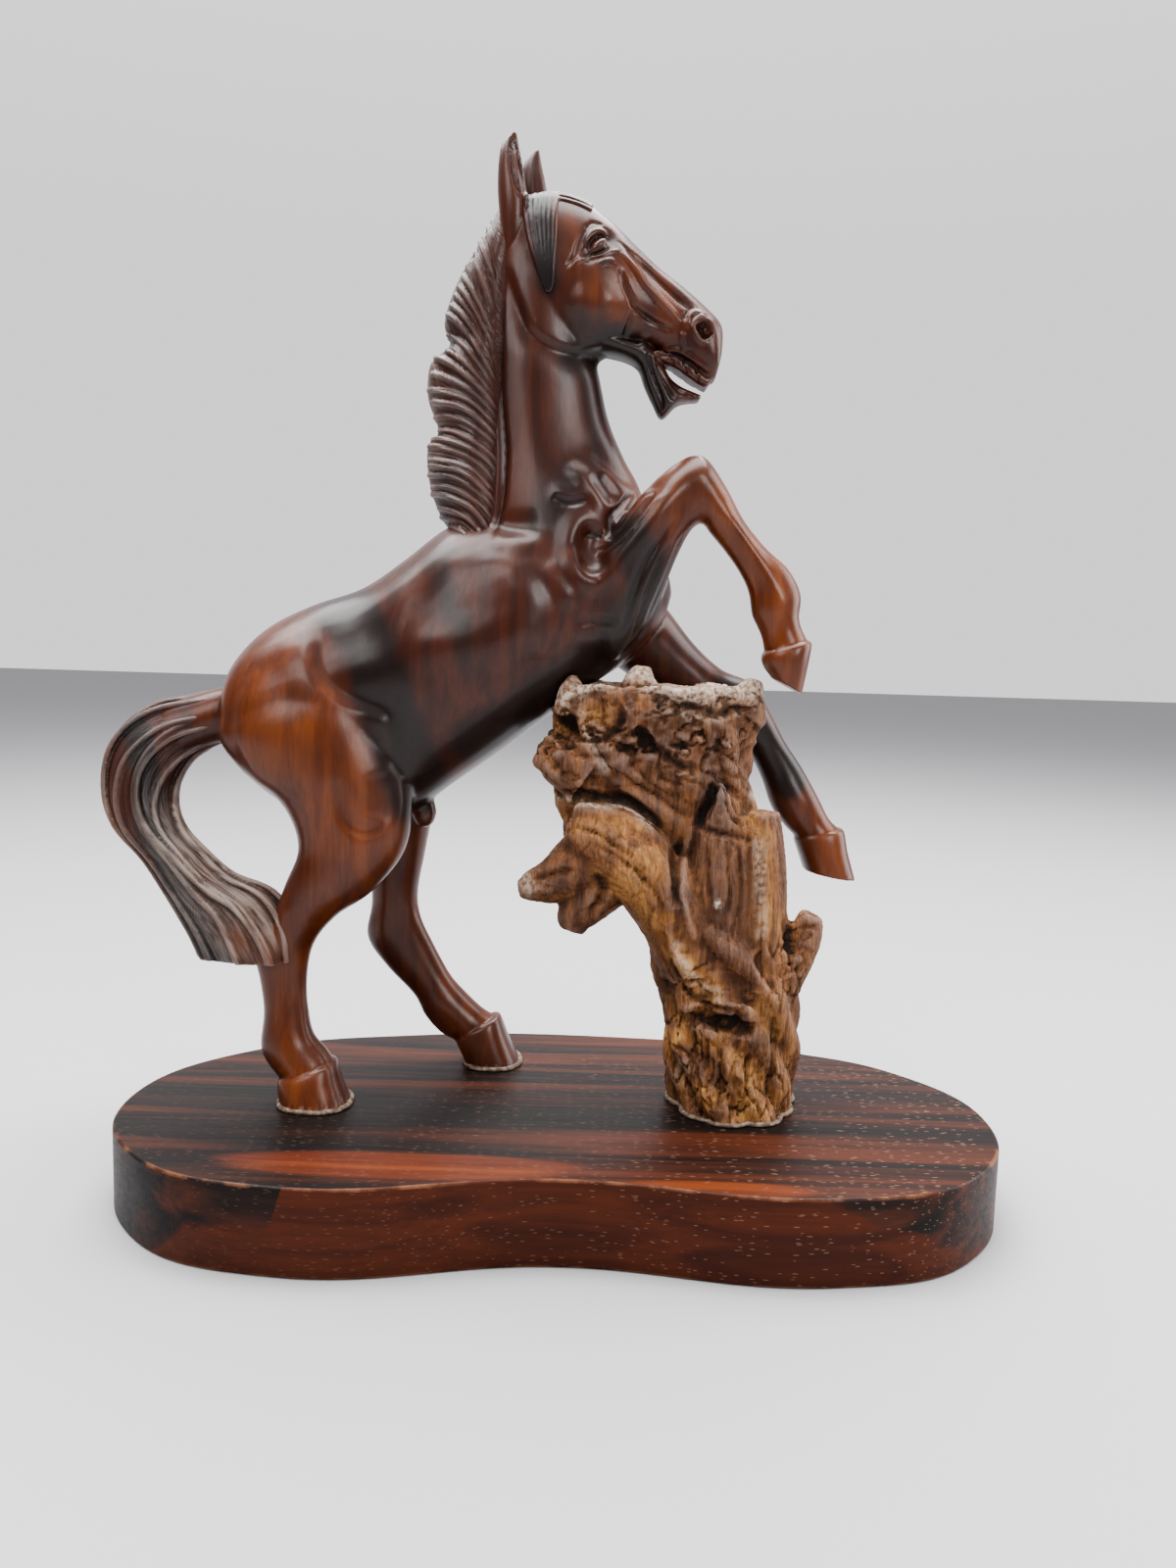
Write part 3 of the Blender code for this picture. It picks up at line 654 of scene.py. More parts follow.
def mane_lock(root, side, count):
    """A lock from the line down the neck to the back edge; the count makes it differ a little."""
    line = []
    wander = math.sin(count * 2.4)
    deep = MANE_SUNK + SUNK_SWING * math.sin(count * 1.9)
    stout = 1 + GIRTH_SWING * math.sin(count * 3.1 + 1)
    for behind in np.arange(MANE_LOCK_START, MANE_LOCK_REACH, MANE_LOCK_STEP):
        height = root + float(mane_rise(root + MANE_SWEEP, behind))
        height += wander * max(behind, 0) * MANE_WANDER + MANE_RIPPLE * math.sin(behind * 0.45 + count)
        x = float(mane_root(height)) - behind
        edge = float(mane_at(height, 2)) + MANE_EDGE + EDGE_SWING * math.sin(count * 2.9)
        if height < MANE_BOTTOM or height > MANE_TOP + MANE_OVER_TOP:
            continue
        if x < edge:
            break
        girth = MANE_LOCK_GIRTH * stout * (1 - GIRTH_LOSS * max(behind, 0))
        if not line:
            start = behind
        buried = girth * MANE_RISE_DEPTH * max(0, 1 - (behind - start) / MANE_RISE_RUN)
        y = side * max(mane_surface(x, height, side) - deep - buried, MANE_LEAST)
        line.append((x, y, height, girth))
    return line


def mane_locks(side):
    lines = []
    root = MANE_BOTTOM - MANE_SWEEP
    count = 0
    while root < MANE_TOP:
        line = mane_lock(root, side, count)
        if len(line) > 2:
            lines.append(line)
        root += MANE_LOCK_PITCH * (1 + PITCH_SWING * math.sin(count * 1.3))
        count += 1
    return lines


mane_lines = mane_locks(NEAR) + mane_locks(FAR)
mane_mesh = sweep_locks(mane_lines, unevenness=0.1, seed=5)
print("the mane has", len(mane_lines), "locks")

# %% [markdown]
# ## The tail
#
# The tail leaves a smooth dock, arches back and comes round to the hock. Its locks run its
# whole length, so they are laid at even angles round the tail and follow its stations, with
# a slow sway so that they seem to slide over each other. Each starts in a point, a little
# further down the dock than its neighbour.

# %% The tail, and how its locks run
TAIL = [
    (-100, 127, -98, 108, 0, 7),
    (-108, 124.8, -106.5, 107.4, 0, 6.8),
    (-118, 122.2, -112.5, 105.4, 0, 7.8),
    (-129.5, 119.4, -117.5, 101.8, -1, 9),
    (-138.4, 113.6, -120.2, 97, -3, 10),
    (-143.8, 104.5, -121.4, 92, -5, 10.5),
    (-144.4, 92, -120.8, 86.5, -7, 10.5),
    (-140.4, 81.6, -117.5, 80.5, -9, 10),
    (-131, 72, -111, 74.5, -11, 10),
    (-123, 60.5, -102, 68, -13, 9.8),
    (-116, 49, -89.5, 64, -15.6, 9.6),
    (-109.4, 37, -82, 55, -17.4, 9.6),
    (-101, 31, -80.5, 43.6, -18.4, 9),
]
TAIL_CUT = 43.2
TAIL_LOCKS = 15
TAIL_LOCK_GIRTH = 1.06
TAIL_SUNK = 0.66
TAIL_FIRST = 5
TAIL_TAPER = 16
TAIL_DIP, TAIL_BEDDED = 1.3, 0.5
TAIL_THIN_START = 0.12
SWAY, SWAY_DRIFT, DEEP_SWING = 0.5, 0.9, 0.55
TAIL_CORE_KEPT = (0.82, 0.86)
DOCK_KEPT = (0.96, 0.84, 0.6)
MANE_VOXEL, TAIL_VOXEL = 0.38, 0.42
tail_rows = smooth_rows(TAIL, RINGS_PER_STATION)
print("the tail has", len(tail_rows), "rows")

# %% Sweep the tail's locks
def tail_locks():
    lines = []
    for k in range(TAIL_LOCKS):
        first = TAIL_FIRST + (k * 5) % 8
        line = []
        deep = TAIL_SUNK * (1 + DEEP_SWING * math.sin(k * 2.3))
        for i in range(first, len(tail_rows), 2):
            x1, z1, x2, z2, y, half = tail_rows[i]
            share = i / len(tail_rows)
            sway = SWAY * math.sin(4.5 * share + k * 1.9) + SWAY_DRIFT * share
            angle = (k + sway) * 2 * math.pi / TAIL_LOCKS
            reach = math.hypot(x1 - x2, z1 - z2) / 2
            around = 2 * math.pi * math.sqrt((reach ** 2 + half ** 2) / 2)
            grown = min(1.0, (i - first) / TAIL_TAPER)
            thinned = TAIL_THIN_START + (1 - TAIL_THIN_START) * grown
            girth = around / TAIL_LOCKS / 2 * TAIL_LOCK_GIRTH * thinned
            sunk = deep * grown + TAIL_BEDDED + TAIL_DIP * max(0, 1 - 3 * grown)
            inside = 1 - sunk / reach
            x = (x1 + x2) / 2 + (x1 - x2) / 2 * math.cos(angle) * inside
            z = (z1 + z2) / 2 + (z1 - z2) / 2 * math.cos(angle) * inside
            line.append((x, y + (half - sunk) * math.sin(angle), z, girth))
        lines.append(line)
    return lines


tail_lines = tail_locks()
tail_mesh = sweep_locks(tail_lines, unevenness=0.15, seed=9)
print("the tail has", len(tail_lines), "locks")

# %% The core of the tail, and hair melted onto slab and core
def shrunk(station, keep, keep_half):
    """A station drawn in towards its middle."""
    x1, z1, x2, z2, y, half = station
    x, z = (x1 + x2) / 2, (z1 + z2) / 2
    one_edge = (x + (x1 - x) * keep, z + (z1 - z) * keep)
    other_edge = (x + (x2 - x) * keep, z + (z2 - z) * keep)
    return (*one_edge, *other_edge, y, half * keep_half)


tail_core = [shrunk(station, *TAIL_CORE_KEPT) for station in TAIL]
dock = TAIL[:2] + [shrunk(station, keep, keep) for station, keep in zip(TAIL[2:], DOCK_KEPT)]
mane = fuse(mesh_from([limb_rings(MANE, fullness=MANE_FULLNESS)], [mane_mesh]), MANE_VOXEL, 1)
tail = mesh_from([limb_rings(tail_core)], [tail_mesh])
points, _ = read_points(tail)
points[:, 2] = np.maximum(points[:, 2], TAIL_CUT)
write_points(tail, points)
tail = fuse(tail, TAIL_VOXEL, 1)
print("mane:", len(mane.polygons), "faces; tail:", len(tail.polygons), "faces")

# %% [markdown]
# ## The gouge
#
# Muscles are not modelled one by one. A carver sinks the hollows between them with a gouge,
# and what is left standing reads as muscle. Each stroke below is a path as seen from the
# side, half its width, and its depth; a depth below zero means that wood is left standing.
# A stroke can be round like a gouge, sharp like a parting tool, or lower one side only. It
# is worked on both flanks unless it names one.

# %% Strokes seen from the side
FLANK_EDGE = 2.0
ROUND, VEE, LEDGE, BANK = "round", "vee", "ledge", "bank"
LEDGE_LIP = 2.2
BANK_LIP = 0.42
STROKE_FADE = 0.28
VEE_CURVE = 1.3
TINY = 1e-9


def stroke_weight(points, path, half_width, shape=ROUND, fade=0.0):
    """1 on the path, seen from the side, down to 0 at half_width from it and towards its ends."""
    flat = points[:, [0, 2]]
    path = smooth_rows(path, 3) if len(path) > 2 else np.asarray(path, float)
    low = path.min(axis=0) - half_width
    high = path.max(axis=0) + half_width
    weight = np.zeros(len(flat))
    near = np.flatnonzero(np.all((flat > low) & (flat < high), axis=1))
    gap = np.full(len(near), np.inf)
    right = np.zeros(len(near))
    along = np.zeros(len(near))
    length = 0.0
    for a, b in zip(path, path[1:]):
        run = b - a
        share = np.clip((flat[near] - a) @ run / max(run @ run, TINY), 0, 1)
        away = flat[near] - a - share[:, None] * run
        distance = np.linalg.norm(away, axis=1)
        turn = (away[:, 0] * run[1] - away[:, 1] * run[0]) / max(np.linalg.norm(run), TINY)
        right = np.where(distance < gap, turn, right)
        along = np.where(distance < gap, length + share * np.linalg.norm(run), along)
        gap = np.minimum(gap, distance)
        length += np.linalg.norm(run)
    off = np.clip(gap / half_width, 0, 1)
    if shape == VEE:
        weight[near] = (1 - off) ** VEE_CURVE
    elif shape in (LEDGE, BANK):
        lip = LEDGE_LIP if shape == LEDGE else BANK_LIP * half_width
        rise = np.clip(0.5 + right / lip, 0, 1)
        weight[near] = rise * rise * (3 - 2 * rise) * (1 - off) ** 2
    else:
        weight[near] = (1 - off * off) ** 2
    closed = np.linalg.norm(path[0] - path[-1]) < half_width * 2
    if fade and not closed and length > half_width * 1.5:
        ends = np.clip(np.minimum(along, length - along) / (fade * length), 0, 1)
        weight[near] *= ends * (2 - ends)
    return weight

# %% Working the strokes one after the other
def carve(mesh, strokes):
    """Works every stroke on the flanks that face sideways, one after the other."""
    for path, half_width, depth, *how in strokes:
        shape, *only = how or [ROUND]
        points, normals = read_points(mesh)
        weight = stroke_weight(points, path, half_width, shape, STROKE_FADE)
        for side in only or BOTH:
            faces_out = np.clip(normals[:, 1] * side * FLANK_EDGE, 0, 1)
            on_side = np.clip(points[:, 1] * side / FLANK_EDGE, 0, 1)
            points = points - normals * (weight * faces_out * on_side * depth)[:, None]
        write_points(mesh, points)

# %% Haunch, ribs, shoulder and neck, in wide strokes
RUBBED = 9
WIDE_STROKES = [
    # Haunch and barrel
    (
        [(-52, 100), (-52.6, 111), (-55, 118.6), (-61.5, 120.8), (-70, 124.8), (-76, 132.6),
         (-77.5, 146)],
        14, 2.4, BANK,
    ),
    ([(-62, 115), (-71, 120), (-79, 131), (-84, 143)], 9, -0.7),
    ([(-96, 134), (-101, 121), (-100.5, 108), (-95, 96)], 4, 0.7),
    ([(-11, 146), (-21, 141), (-34, 139), (-50, 142)], 12, -1.0),
    ([(-24, 154), (-38, 152), (-50, 154)], 13, 0.7),
    # Shoulder blade and shoulder
    ([(-10.6, 136), (-13, 150), (-17, 160), (-24, 169)], 9, -1.3),
    ([(-9, 164), (-4, 156.6), (-1, 151)], 5, -0.9),
    ([(-26, 170.6), (-16, 170), (-7, 170.6)], 4.4, -0.8),
    ([(-24, 175), (-12, 175.5)], 5, 0.6),
    (
        [(7, 178.5), (1, 177.6), (-2, 173.8), (-2.9, 167.8), (-0.3, 161.8), (4.3, 158.4),
         (8.8, 160.6), (11.9, 165.9), (18.4, 174), (26, 184), (31, 189.6), (38, 189)],
        4.8, -1.5,
    ),
    ([(5.6, 176), (3.6, 169), (6.2, 161.6)], 5, 2.0),
    # Stifle and hock
    ([(-57, 102), (-55.6, 95), (-57, 88)], 7, 0.9),
    ([(-52.6, 89), (-57, 84), (-62, 83.4), (-67.2, 88), (-70.4, 99)], 9, 1.4, BANK),
    ([(-84, 62), (-89, 50)], 3, -0.6),
    # Foot of the neck, and elbow
    ([(-3.5, 194), (1.5, 188), (5, 183.6), (9, 178)], 4, -1.2),
    ([(4.6, 191), (8, 186.4), (10.5, 182.6)], 3.6, 1.1),
    ([(20, 186), (12, 189.6), (5, 195)], 9, 1.1, BANK),
    ([(-8.4, 185.4), (-3, 184.2), (2, 185.4)], 4, -0.7),
    ([(-9, 226), (-6, 208), (0, 190)], 13, 0.7),
    ([(1, 143), (5, 142.5)], 4, -0.6),
    # Jaw, cheek, nose and eye socket
    (
        [(-23, 250), (-20.4, 242), (-18, 236), (-15, 231), (-9, 227.4), (-2, 226.4), (6, 227.4),
         (12, 228)],
        9, 2.0, LEDGE,
    ),
    ([(-4, 242), (3, 238), (8, 243)], 6, -0.9),
    ([(12, 254.8), (18.6, 249), (24.2, 244.4), (29.4, 240), (31, 238)], 2.8, 1.0),
    ([(0.6, 253.2), (5.2, 257.6)], 4.8, 1.5),
    # Forelegs
    ([(8, 185), (14, 176), (20, 168)], 5, 1.0, ROUND, FAR),
    ([(40, 182), (50, 170), (60, 154)], 3, -0.8),
]
carve(body, WIDE_STROKES)
body = worked(body, rubbing(RUBBED))
print("wide strokes:", len(WIDE_STROKES))

# %% [markdown]
# ## Hooves, jaw, teeth, ears and eyes
#
# These have crisper outlines than the limbs, so they join after the limbs have been softened.
# The ears are pointed leaves with a hollow scooped out of their front; the eyes are beads
# set in their sockets. Both sides of the head are carved alike.

# %% Measures of ears, eyes, teeth and coronets
EAR = [
    (-18, 257, -25, 254, 2.6),
    (-17.4, 265, -25.8, 263.4, 3.8),
    (-17.6, 272, -26.5, 271.4, 3.9),
    (-19, 278, -26.4, 278.8, 3.1),
    (-20.4, 283, -25.5, 283.8, 1.9),
    (-21.3, 287.4, -22.6, 287.4, 0.6),
]
EAR_FROM_MIDDLE = 6.0
FAR_EAR_FORWARD = 6.0
EAR_HOLLOW = 2.6
EAR_HOLLOW_HALF = 2.6
EAR_TIP, EAR_TAPER = 288, 14
EAR_X, EAR_REACH, EAR_HOLLOW_ASIDE = -18, 8, 0.8
EAR_HOLLOW_FROM, EAR_HOLLOW_TO = 268.5, 285.5
EYE_AT = (3.1, 9.2, 255.2)
EYE_RADII = (3.3, 1.7, 1.6)
EYE_TILT = 0.78
TEETH = [
    (20.5, 228, 21, 226, 0, 4.6),
    (26.5, 227, 26.4, 223.6, 0, 5.4),
    (32.6, 224.2, 31.9, 220.1, 0, 5.6),
    (38.8, 221.4, 36.6, 217.7, 0, 4.8),
]
TEETH_FULLNESS = 5.0
CORONET_KEPT, CORONET_RISE = 0.8, 1.3

# %% Lofts for ears, eyes, teeth and hooves
def ear_forward(side):
    return FAR_EAR_FORWARD if side == FAR else 0


def ear_rings(side):
    ahead = ear_forward(side)
    rows = []
    for x1, z1, x2, z2, half in EAR:
        rows.append((x1 + ahead, z1, x2 + ahead, z2, side * EAR_FROM_MIDDLE, half))
    return limb_rings(rows)


def hollow_ears(mesh):
    """Scoops the front of each ear out towards its tip."""
    points, normals = read_points(mesh)
    for side in BOTH:
        middle = side * (EAR_FROM_MIDDLE + EAR_HOLLOW_ASIDE)
        half = EAR_HOLLOW_HALF * np.clip((EAR_TIP - points[:, 2]) / EAR_TAPER, 0.25, 1)
        aside = np.abs(points[:, 1] - middle) / half
        up = np.clip((points[:, 2] - EAR_HOLLOW_FROM) / 4, 0, 1)
        up = up * np.clip((EAR_HOLLOW_TO - points[:, 2]) / 3, 0, 1)
        close = np.abs(points[:, 0] - EAR_X - ear_forward(side)) < EAR_REACH
        ahead = np.clip(normals[:, 0] * 1.6, 0, 1) * close
        weight = (1 - np.clip(aside, 0, 1) ** 2) * up * ahead
        points[:, 0] -= weight * EAR_HOLLOW
    write_points(mesh, points)


def hoof_rings(rows):
    """A hoof whose top edge is rounded over into the leg."""
    x1, z1, x2, z2, y, half = shrunk(rows[0], CORONET_KEPT, CORONET_KEPT)
    top = (x1, z1 + CORONET_RISE, x2, z2 + CORONET_RISE, y, half)
    return limb_rings([top] + rows, fullness=HOOF_FULLNESS)


trims = [hoof_rings(hoof) for hoof in HOOVES.values()]
trims += [limb_rings(JAW), limb_rings(TEETH, fullness=TEETH_FULLNESS), limb_rings(dock)]
for side in BOTH:
    trims.append(ear_rings(side))
    trims.append(ball_rings((EYE_AT[0], side * EYE_AT[1], EYE_AT[2]), EYE_RADII, tilt=EYE_TILT))
print("hooves, jaw, teeth, dock, ears and eyes:", len(trims), "lofts")

# %% [markdown]
# ## Skin of the body, at its final fineness
#
# Everything on the body is melted once more at less than half a millimetre, and the parting
# tool goes over it: the flutes down the breast, the folds at the elbow, the lids and the line
# of the mouth. Then calm areas are thinned out, so that the triangles gather on the carving.

# %% The rim of the nostril
NOSTRIL_AT = (35.2, 233.4)
NOSTRIL_LONG, NOSTRIL_SHORT, NOSTRIL_SLANT = 3.9, 2.9, -0.95
NOSTRIL_OPEN = (0.6, 5.9, 9)
NOSTRIL = []
for angle in np.linspace(*NOSTRIL_OPEN):
    along = NOSTRIL_LONG * math.cos(angle)
    across = NOSTRIL_SHORT * math.sin(angle)
    x = NOSTRIL_AT[0] + along * math.cos(NOSTRIL_SLANT) - across * math.sin(NOSTRIL_SLANT)
    z = NOSTRIL_AT[1] + along * math.sin(NOSTRIL_SLANT) + across * math.cos(NOSTRIL_SLANT)
    NOSTRIL.append((x, z))
print("the rim of the nostril has", len(NOSTRIL), "points")

# %% Creases, lids and lips, in fine strokes
FINE_STROKES = [
    # Flutes down the breast
    ([(28, 178), (23.5, 171), (19.6, 163.4), (17, 156), (13.6, 143)], 2.0, 0.9, VEE, NEAR),
    ([(26.5, 171), (22.6, 161.2), (19.4, 151.6), (16, 141)], 1.9, 0.9, VEE, NEAR),
    ([(22.5, 172), (17, 161), (14.5, 152)], 1.8, 0.6, VEE, NEAR),
    ([(30.5, 174), (26.8, 163), (22.5, 152), (18.8, 142)], 1.7, 0.8, VEE, NEAR),
    ([(30, 158), (24, 148), (20, 140)], 2.2, 0.8, VEE, FAR),
    # Forelegs, shoulder and elbow
    ([(44, 136), (54, 124), (62, 112)], 2.6, 0.7),
    ([(1.2, 171.6), (3.6, 173), (6.8, 172)], 1.2, 0.6, VEE),
    ([(4.6, 167), (9, 170), (14.6, 175.4), (21.8, 185.2)], 1.5, 1.2, VEE),
    ([(5, 166), (9.6, 168.8), (15.4, 174.2), (22.8, 184.2)], 0.9, -0.5),
    ([(9.4, 171), (9, 177.6), (12, 182), (16.4, 187)], 1.8, 1.4, VEE),
    ([(-8, 183.4), (-3.4, 181.8), (2, 183)], 2.0, 0.7),
    ([(0.4, 146.7), (4.7, 147.8), (13, 147.6)], 2.2, 0.4),
    # Cheekbone and nose
    (
        [(9.9, 249.6), (11.3, 244.8), (13.3, 241), (14.2, 239), (17.2, 237), (20.5, 235.2), (23.7, 234),
         (26.3, 233.6)],
        1.5, 1.1, VEE,
    ),
    ([(13.7, 238.2), (13, 234.5), (11.4, 230.4)], 1.4, 0.8, VEE),
    ([(19.3, 232.7), (17.4, 230.8), (16.8, 228.2)], 1.5, -0.6),
    ([(29, 233.1), (28.7, 230.6), (30.4, 227.8)], 1.3, -0.5),
    (
        [(9.8, 254.5), (11.8, 252.3), (14.4, 249.3), (17.1, 245.6), (20.4, 242.6), (23.7, 239.7),
         (26.3, 237.3), (27.6, 234.8)],
        1.6, -1.0,
    ),
    ([(8.5, 258), (20, 248.4), (29, 240.6), (31.5, 237.6)], 1.1, 0.6, VEE),
    # Eye, lids and brow
    ([(-6, 248.4), (-3.4, 251.6), (-2.3, 254.5), (-1.2, 258), (0.3, 261.4)], 1.5, 0.9, VEE),
    ([(-5.5, 247.9), (-2.9, 250.3), (0.5, 251.7), (4, 252.6), (7.2, 254), (9.8, 254.6)], 0.9, -0.5),
    ([(-2.4, 251.4), (0.6, 252.6), (4, 253.5), (7, 255.2)], 0.8, 0.6, VEE),
    ([(3.6, 250.2), (6.4, 251.3), (8.4, 251)], 0.9, -0.4),
    ([(3.4, 249.4), (6.4, 250.4), (8.6, 250)], 0.8, 0.4, VEE),
    ([(-0.6, 254.4), (0.4, 257.8), (2.1, 259.7), (4.2, 260), (6, 258.6)], 1.1, -0.7),
    ([(0.2, 254.4), (1.4, 257), (3.4, 258.5), (5.4, 258.2)], 0.8, 0.8, VEE),
    ([(-0.8, 260), (1.4, 262.2), (4.6, 262)], 1.0, 0.5, VEE),
    # Lips
    (
        [(19.7, 225.4), (21.6, 227.4), (24.4, 228.2), (27.6, 228), (30.7, 226.5), (34, 224.4),
         (38.5, 221.2)],
        1.4, -0.8,
    ),
    ([(20.6, 224.6), (22.4, 226.2), (25, 226.9), (28, 226.4), (33, 223.4), (38, 219.8)], 0.9, 0.9, VEE),
    # Nostril
    (NOSTRIL, 1.3, -0.8),
    ([(33.7, 235.6), (36.5, 231.2)], 2.1, 2.4),
    ([(35.2, 233.8), (35.8, 232.8)], 0.8, -0.7),
    ([(30.4, 233.6), (30.4, 236.8), (32.4, 238.6), (35.6, 237.6)], 1.4, -0.6),
    ([(29, 236), (29.4, 239)], 1.4, 0.5),
    # Between the teeth
    ([(26, 227), (26.4, 222.6)], 0.8, 0.8, VEE),
    ([(29.6, 225.6), (30.2, 220.6)], 0.8, 0.8, VEE),
    ([(33.4, 223.6), (34.2, 218.4)], 0.8, 0.8, VEE),
    # Chin
    ([(18.6, 227), (20.4, 221), (22.8, 215), (24, 210.6)], 1.6, 1.4, VEE),
    ([(21.2, 225), (24.2, 219.2), (27.4, 213.4)], 1.4, 1.2, VEE),
    ([(25.4, 220.4), (29, 216.6), (33, 215.2)], 1.2, 1.0, VEE),
    # Ear, and the line where the mane begins
    ([(-22, 288), (-22.4, 281), (-21.8, 275.4), (-19.4, 268)], 1.3, 0.9, VEE),
    ([(x + 0.8, z) for x, z in MANE_ROOT], 2.0, 1.5, VEE),
]
print("fine strokes:", len(FINE_STROKES))

# %% Melt the whole body, carve it, then keep fewer faces
SKIN_VOXEL = 0.44
BODY_FACES = 194000
body = fuse(mesh_from(trims, [body]), SKIN_VOXEL, 3)
carve(body, FINE_STROKES)
hollow_ears(body)
horse_skin = surface_tree(body)
body = thin_out(body, BODY_FACES)
print("body:", len(body.polygons), "faces")

# %% [markdown]
# ## The forelock
#
# A forelock falls forward from the poll, and a second bundle hangs in front of each ear and
# comes to a point on the cheek. Each strand is a line laid on the skin by shooting rays at
# it, swept with the tree that made the mane, and melted at a finer grain than the body.

# %% Lines laid on the skin
STRAND_GIRTH = 0.84
STRAND_SINK = 0.2
STRAND_THIN, STRAND_TAPER = 0.3, 2.4


def laid(path):
    """A line over the skin for each side, with the girth of the strand along it."""
    lines = []
    rows = smooth_rows(path, 4)
    for side in BOTH:
        line = []
        for i, (x, z) in enumerate(rows):
            hit, *_ = horse_skin.ray_cast(Vector((x, side * OUTSIDE, z)), Vector((0, -side, 0)))
            if hit is None or hit.y * side < 0:
                continue
            taper = min(1, STRAND_THIN + STRAND_TAPER * (1 - i / (len(rows) - 1)))
            line.append((x, hit.y - side * STRAND_SINK * STRAND_GIRTH, z, STRAND_GIRTH * taper))
        if len(line) > 2:
            lines.append(line)
    return lines

# %% Bundles of strands that converge
FORELOCK_STRANDS = 7
FORELOCK_VOXEL = 0.3
POLL_STRANDS, POLL_PITCH, POLL_SIDE = 8, 2, -7
POLL_BACK, POLL_FRONT, POLL_STEP = -18.5, 1.2, 1.5
POLL_GIRTH, EARS_BASE, ABOVE = 1.15, 276, 300
strand_lines = []
for k in range(FORELOCK_STRANDS):
    share = k / (FORELOCK_STRANDS - 1)
    top = (-18.6 + 9.2 * share, 270.6)
    upper = (-18 + 8.4 * share, 264)
    belly = (-16.4 + 6.8 * share, 256)
    lower = (-13.8 + 4.0 * share, 248.5)
    tip = (-11.3 + 1.2 * share, 241.8 + 3 * abs(share - 0.5))
    strand_lines += laid([top, upper, belly, lower, tip])
for k in range(POLL_STRANDS):
    across = POLL_SIDE + POLL_PITCH * k
    line = []
    for x in np.arange(POLL_BACK, POLL_FRONT, POLL_STEP):
        start = Vector((x, across * (1 - 0.012 * (x + 17)), ABOVE))
        hit, *_ = horse_skin.ray_cast(start, Vector((0, 0, -1)))
        if hit is not None and hit.z < EARS_BASE:
            girth = POLL_GIRTH * min(1, 0.12 + 0.07 * (2 - x))
            line.append((x, hit.y, hit.z - 0.35 - 0.3 * girth, girth))
    if len(line) > 3:
        strand_lines.append(line)
strands = sweep_locks(strand_lines, unevenness=0.15, step=0.4, seed=4)
forelock = fuse(strands, FORELOCK_VOXEL, 1)
print("forelock:", len(strand_lines), "strands,", len(forelock.polygons), "faces")

# %% [markdown]
# ## Where the wood is light, dark or dusty
#
# The block has a broad dark heart that crosses the loin and runs up the breast, and warmer
# outer wood on the haunch and on the raised leg. These zones are painted as strokes too, and
# stored on the vertices. A second value says how deep each vertex lies below its
# surroundings, so that grooves can be darkened as painted shade, ridges rubbed lighter, and
# dust kept out of the deepest grooves.

# %% Warm, dark and dusty zones of the horse
WARM_ZONES = [
    ([(-88, 122), (-74, 104), (-66, 84)], 30, 1.0),
    ([(-74, 66), (-84, 44), (-85, 22), (-76, 4)], 16, 0.7),
    ([(28, 188), (40, 184), (56, 166), (62, 148)], 22, 1.0, NEAR),
    ([(3, 244), (8, 240)], 10, 0.55),
    ([(-5, 262), (-3, 248)], 5, 0.5),
    ([(14, 250), (28, 236)], 7, 0.5),
    ([(77, 92), (81, 82), (86, 70)], 12, 0.8, FAR),
    ([(-60, 55), (-40, 26), (-26, 6)], 16, 0.45, FAR),
    ([(-149, 112), (-149, 94), (-128, 52)], 11, 0.9),
    ([(-100, 50), (-88, 46)], 9, 0.5),
    ([(-78, 9), (-76, 1)], 13, 1.0, NEAR),
    ([(62, 143), (65, 131)], 10, 0.8, NEAR),
    ([(-112, 118), (-100, 116)], 9, 0.5),
]
DARK_ZONES = [
    ([(-70, 150), (-59, 136), (-52, 116), (-46, 96)], 15, 1.0),
    ([(-40, 166), (-36, 150), (-30, 132)], 9, 0.45),
    ([(-30, 112), (-8, 126), (10, 140)], 13, 0.8),
    ([(14, 172), (20, 158), (14, 146)], 12, 0.95),
    ([(-8, 176), (2, 196), (4, 214), (-4, 232)], 17, 0.5),
    ([(6, 228), (14, 228), (24, 214)], 8, 0.8),
    ([(-14, 268), (-12, 254), (-10.5, 244)], 7, 0.8),
    ([(-8, 246), (-6, 236), (4, 230)], 8, 0.4),
    ([(48, 124), (62, 109), (69, 100)], 12, 1.0, FAR),
    ([(-138, 114), (-131, 106), (-126, 84), (-110, 50), (-103, 42)], 7, 0.95),
    ([(-38, 255), (-44, 215), (-42, 180)], 13, 0.35),
]
DUST_ZONES = [
    ([(-120, 84), (-110, 70), (-88, 56)], 14, 0.75),
    ([(-114, 62), (-100, 48)], 10, 0.5),
    ([(-143, 116), (-149, 100), (-134, 62)], 8, 0.5),
    ([(-42, 258), (-46, 224), (-46, 180)], 7, 0.4),
]
print("zones:", len(WARM_ZONES), "warm,", len(DARK_ZONES), "dark,", len(DUST_ZONES), "dusty")

# %% How strongly a zone shows, and how deep a groove is
ZONE_BLEND = 6
SMOOTHING_ROUNDS = 10


def zone(points, strokes):
    """How strongly each point lies in any of the painted strokes."""
    value = np.zeros(len(points))
    for path, half_width, strength, *only in strokes:
        on_side = np.clip(0.5 + points[:, 1] * only[0] / ZONE_BLEND, 0, 1) if only else 1
        value = np.maximum(value, stroke_weight(points, path, half_width) * strength * on_side)
    return value


def paint(mesh, **zones):
    """Stores how strongly each kind of zone shows, under its name."""
    points, _ = read_points(mesh)
    for name, strokes in zones.items():
        store(mesh, name, zone(points, strokes))


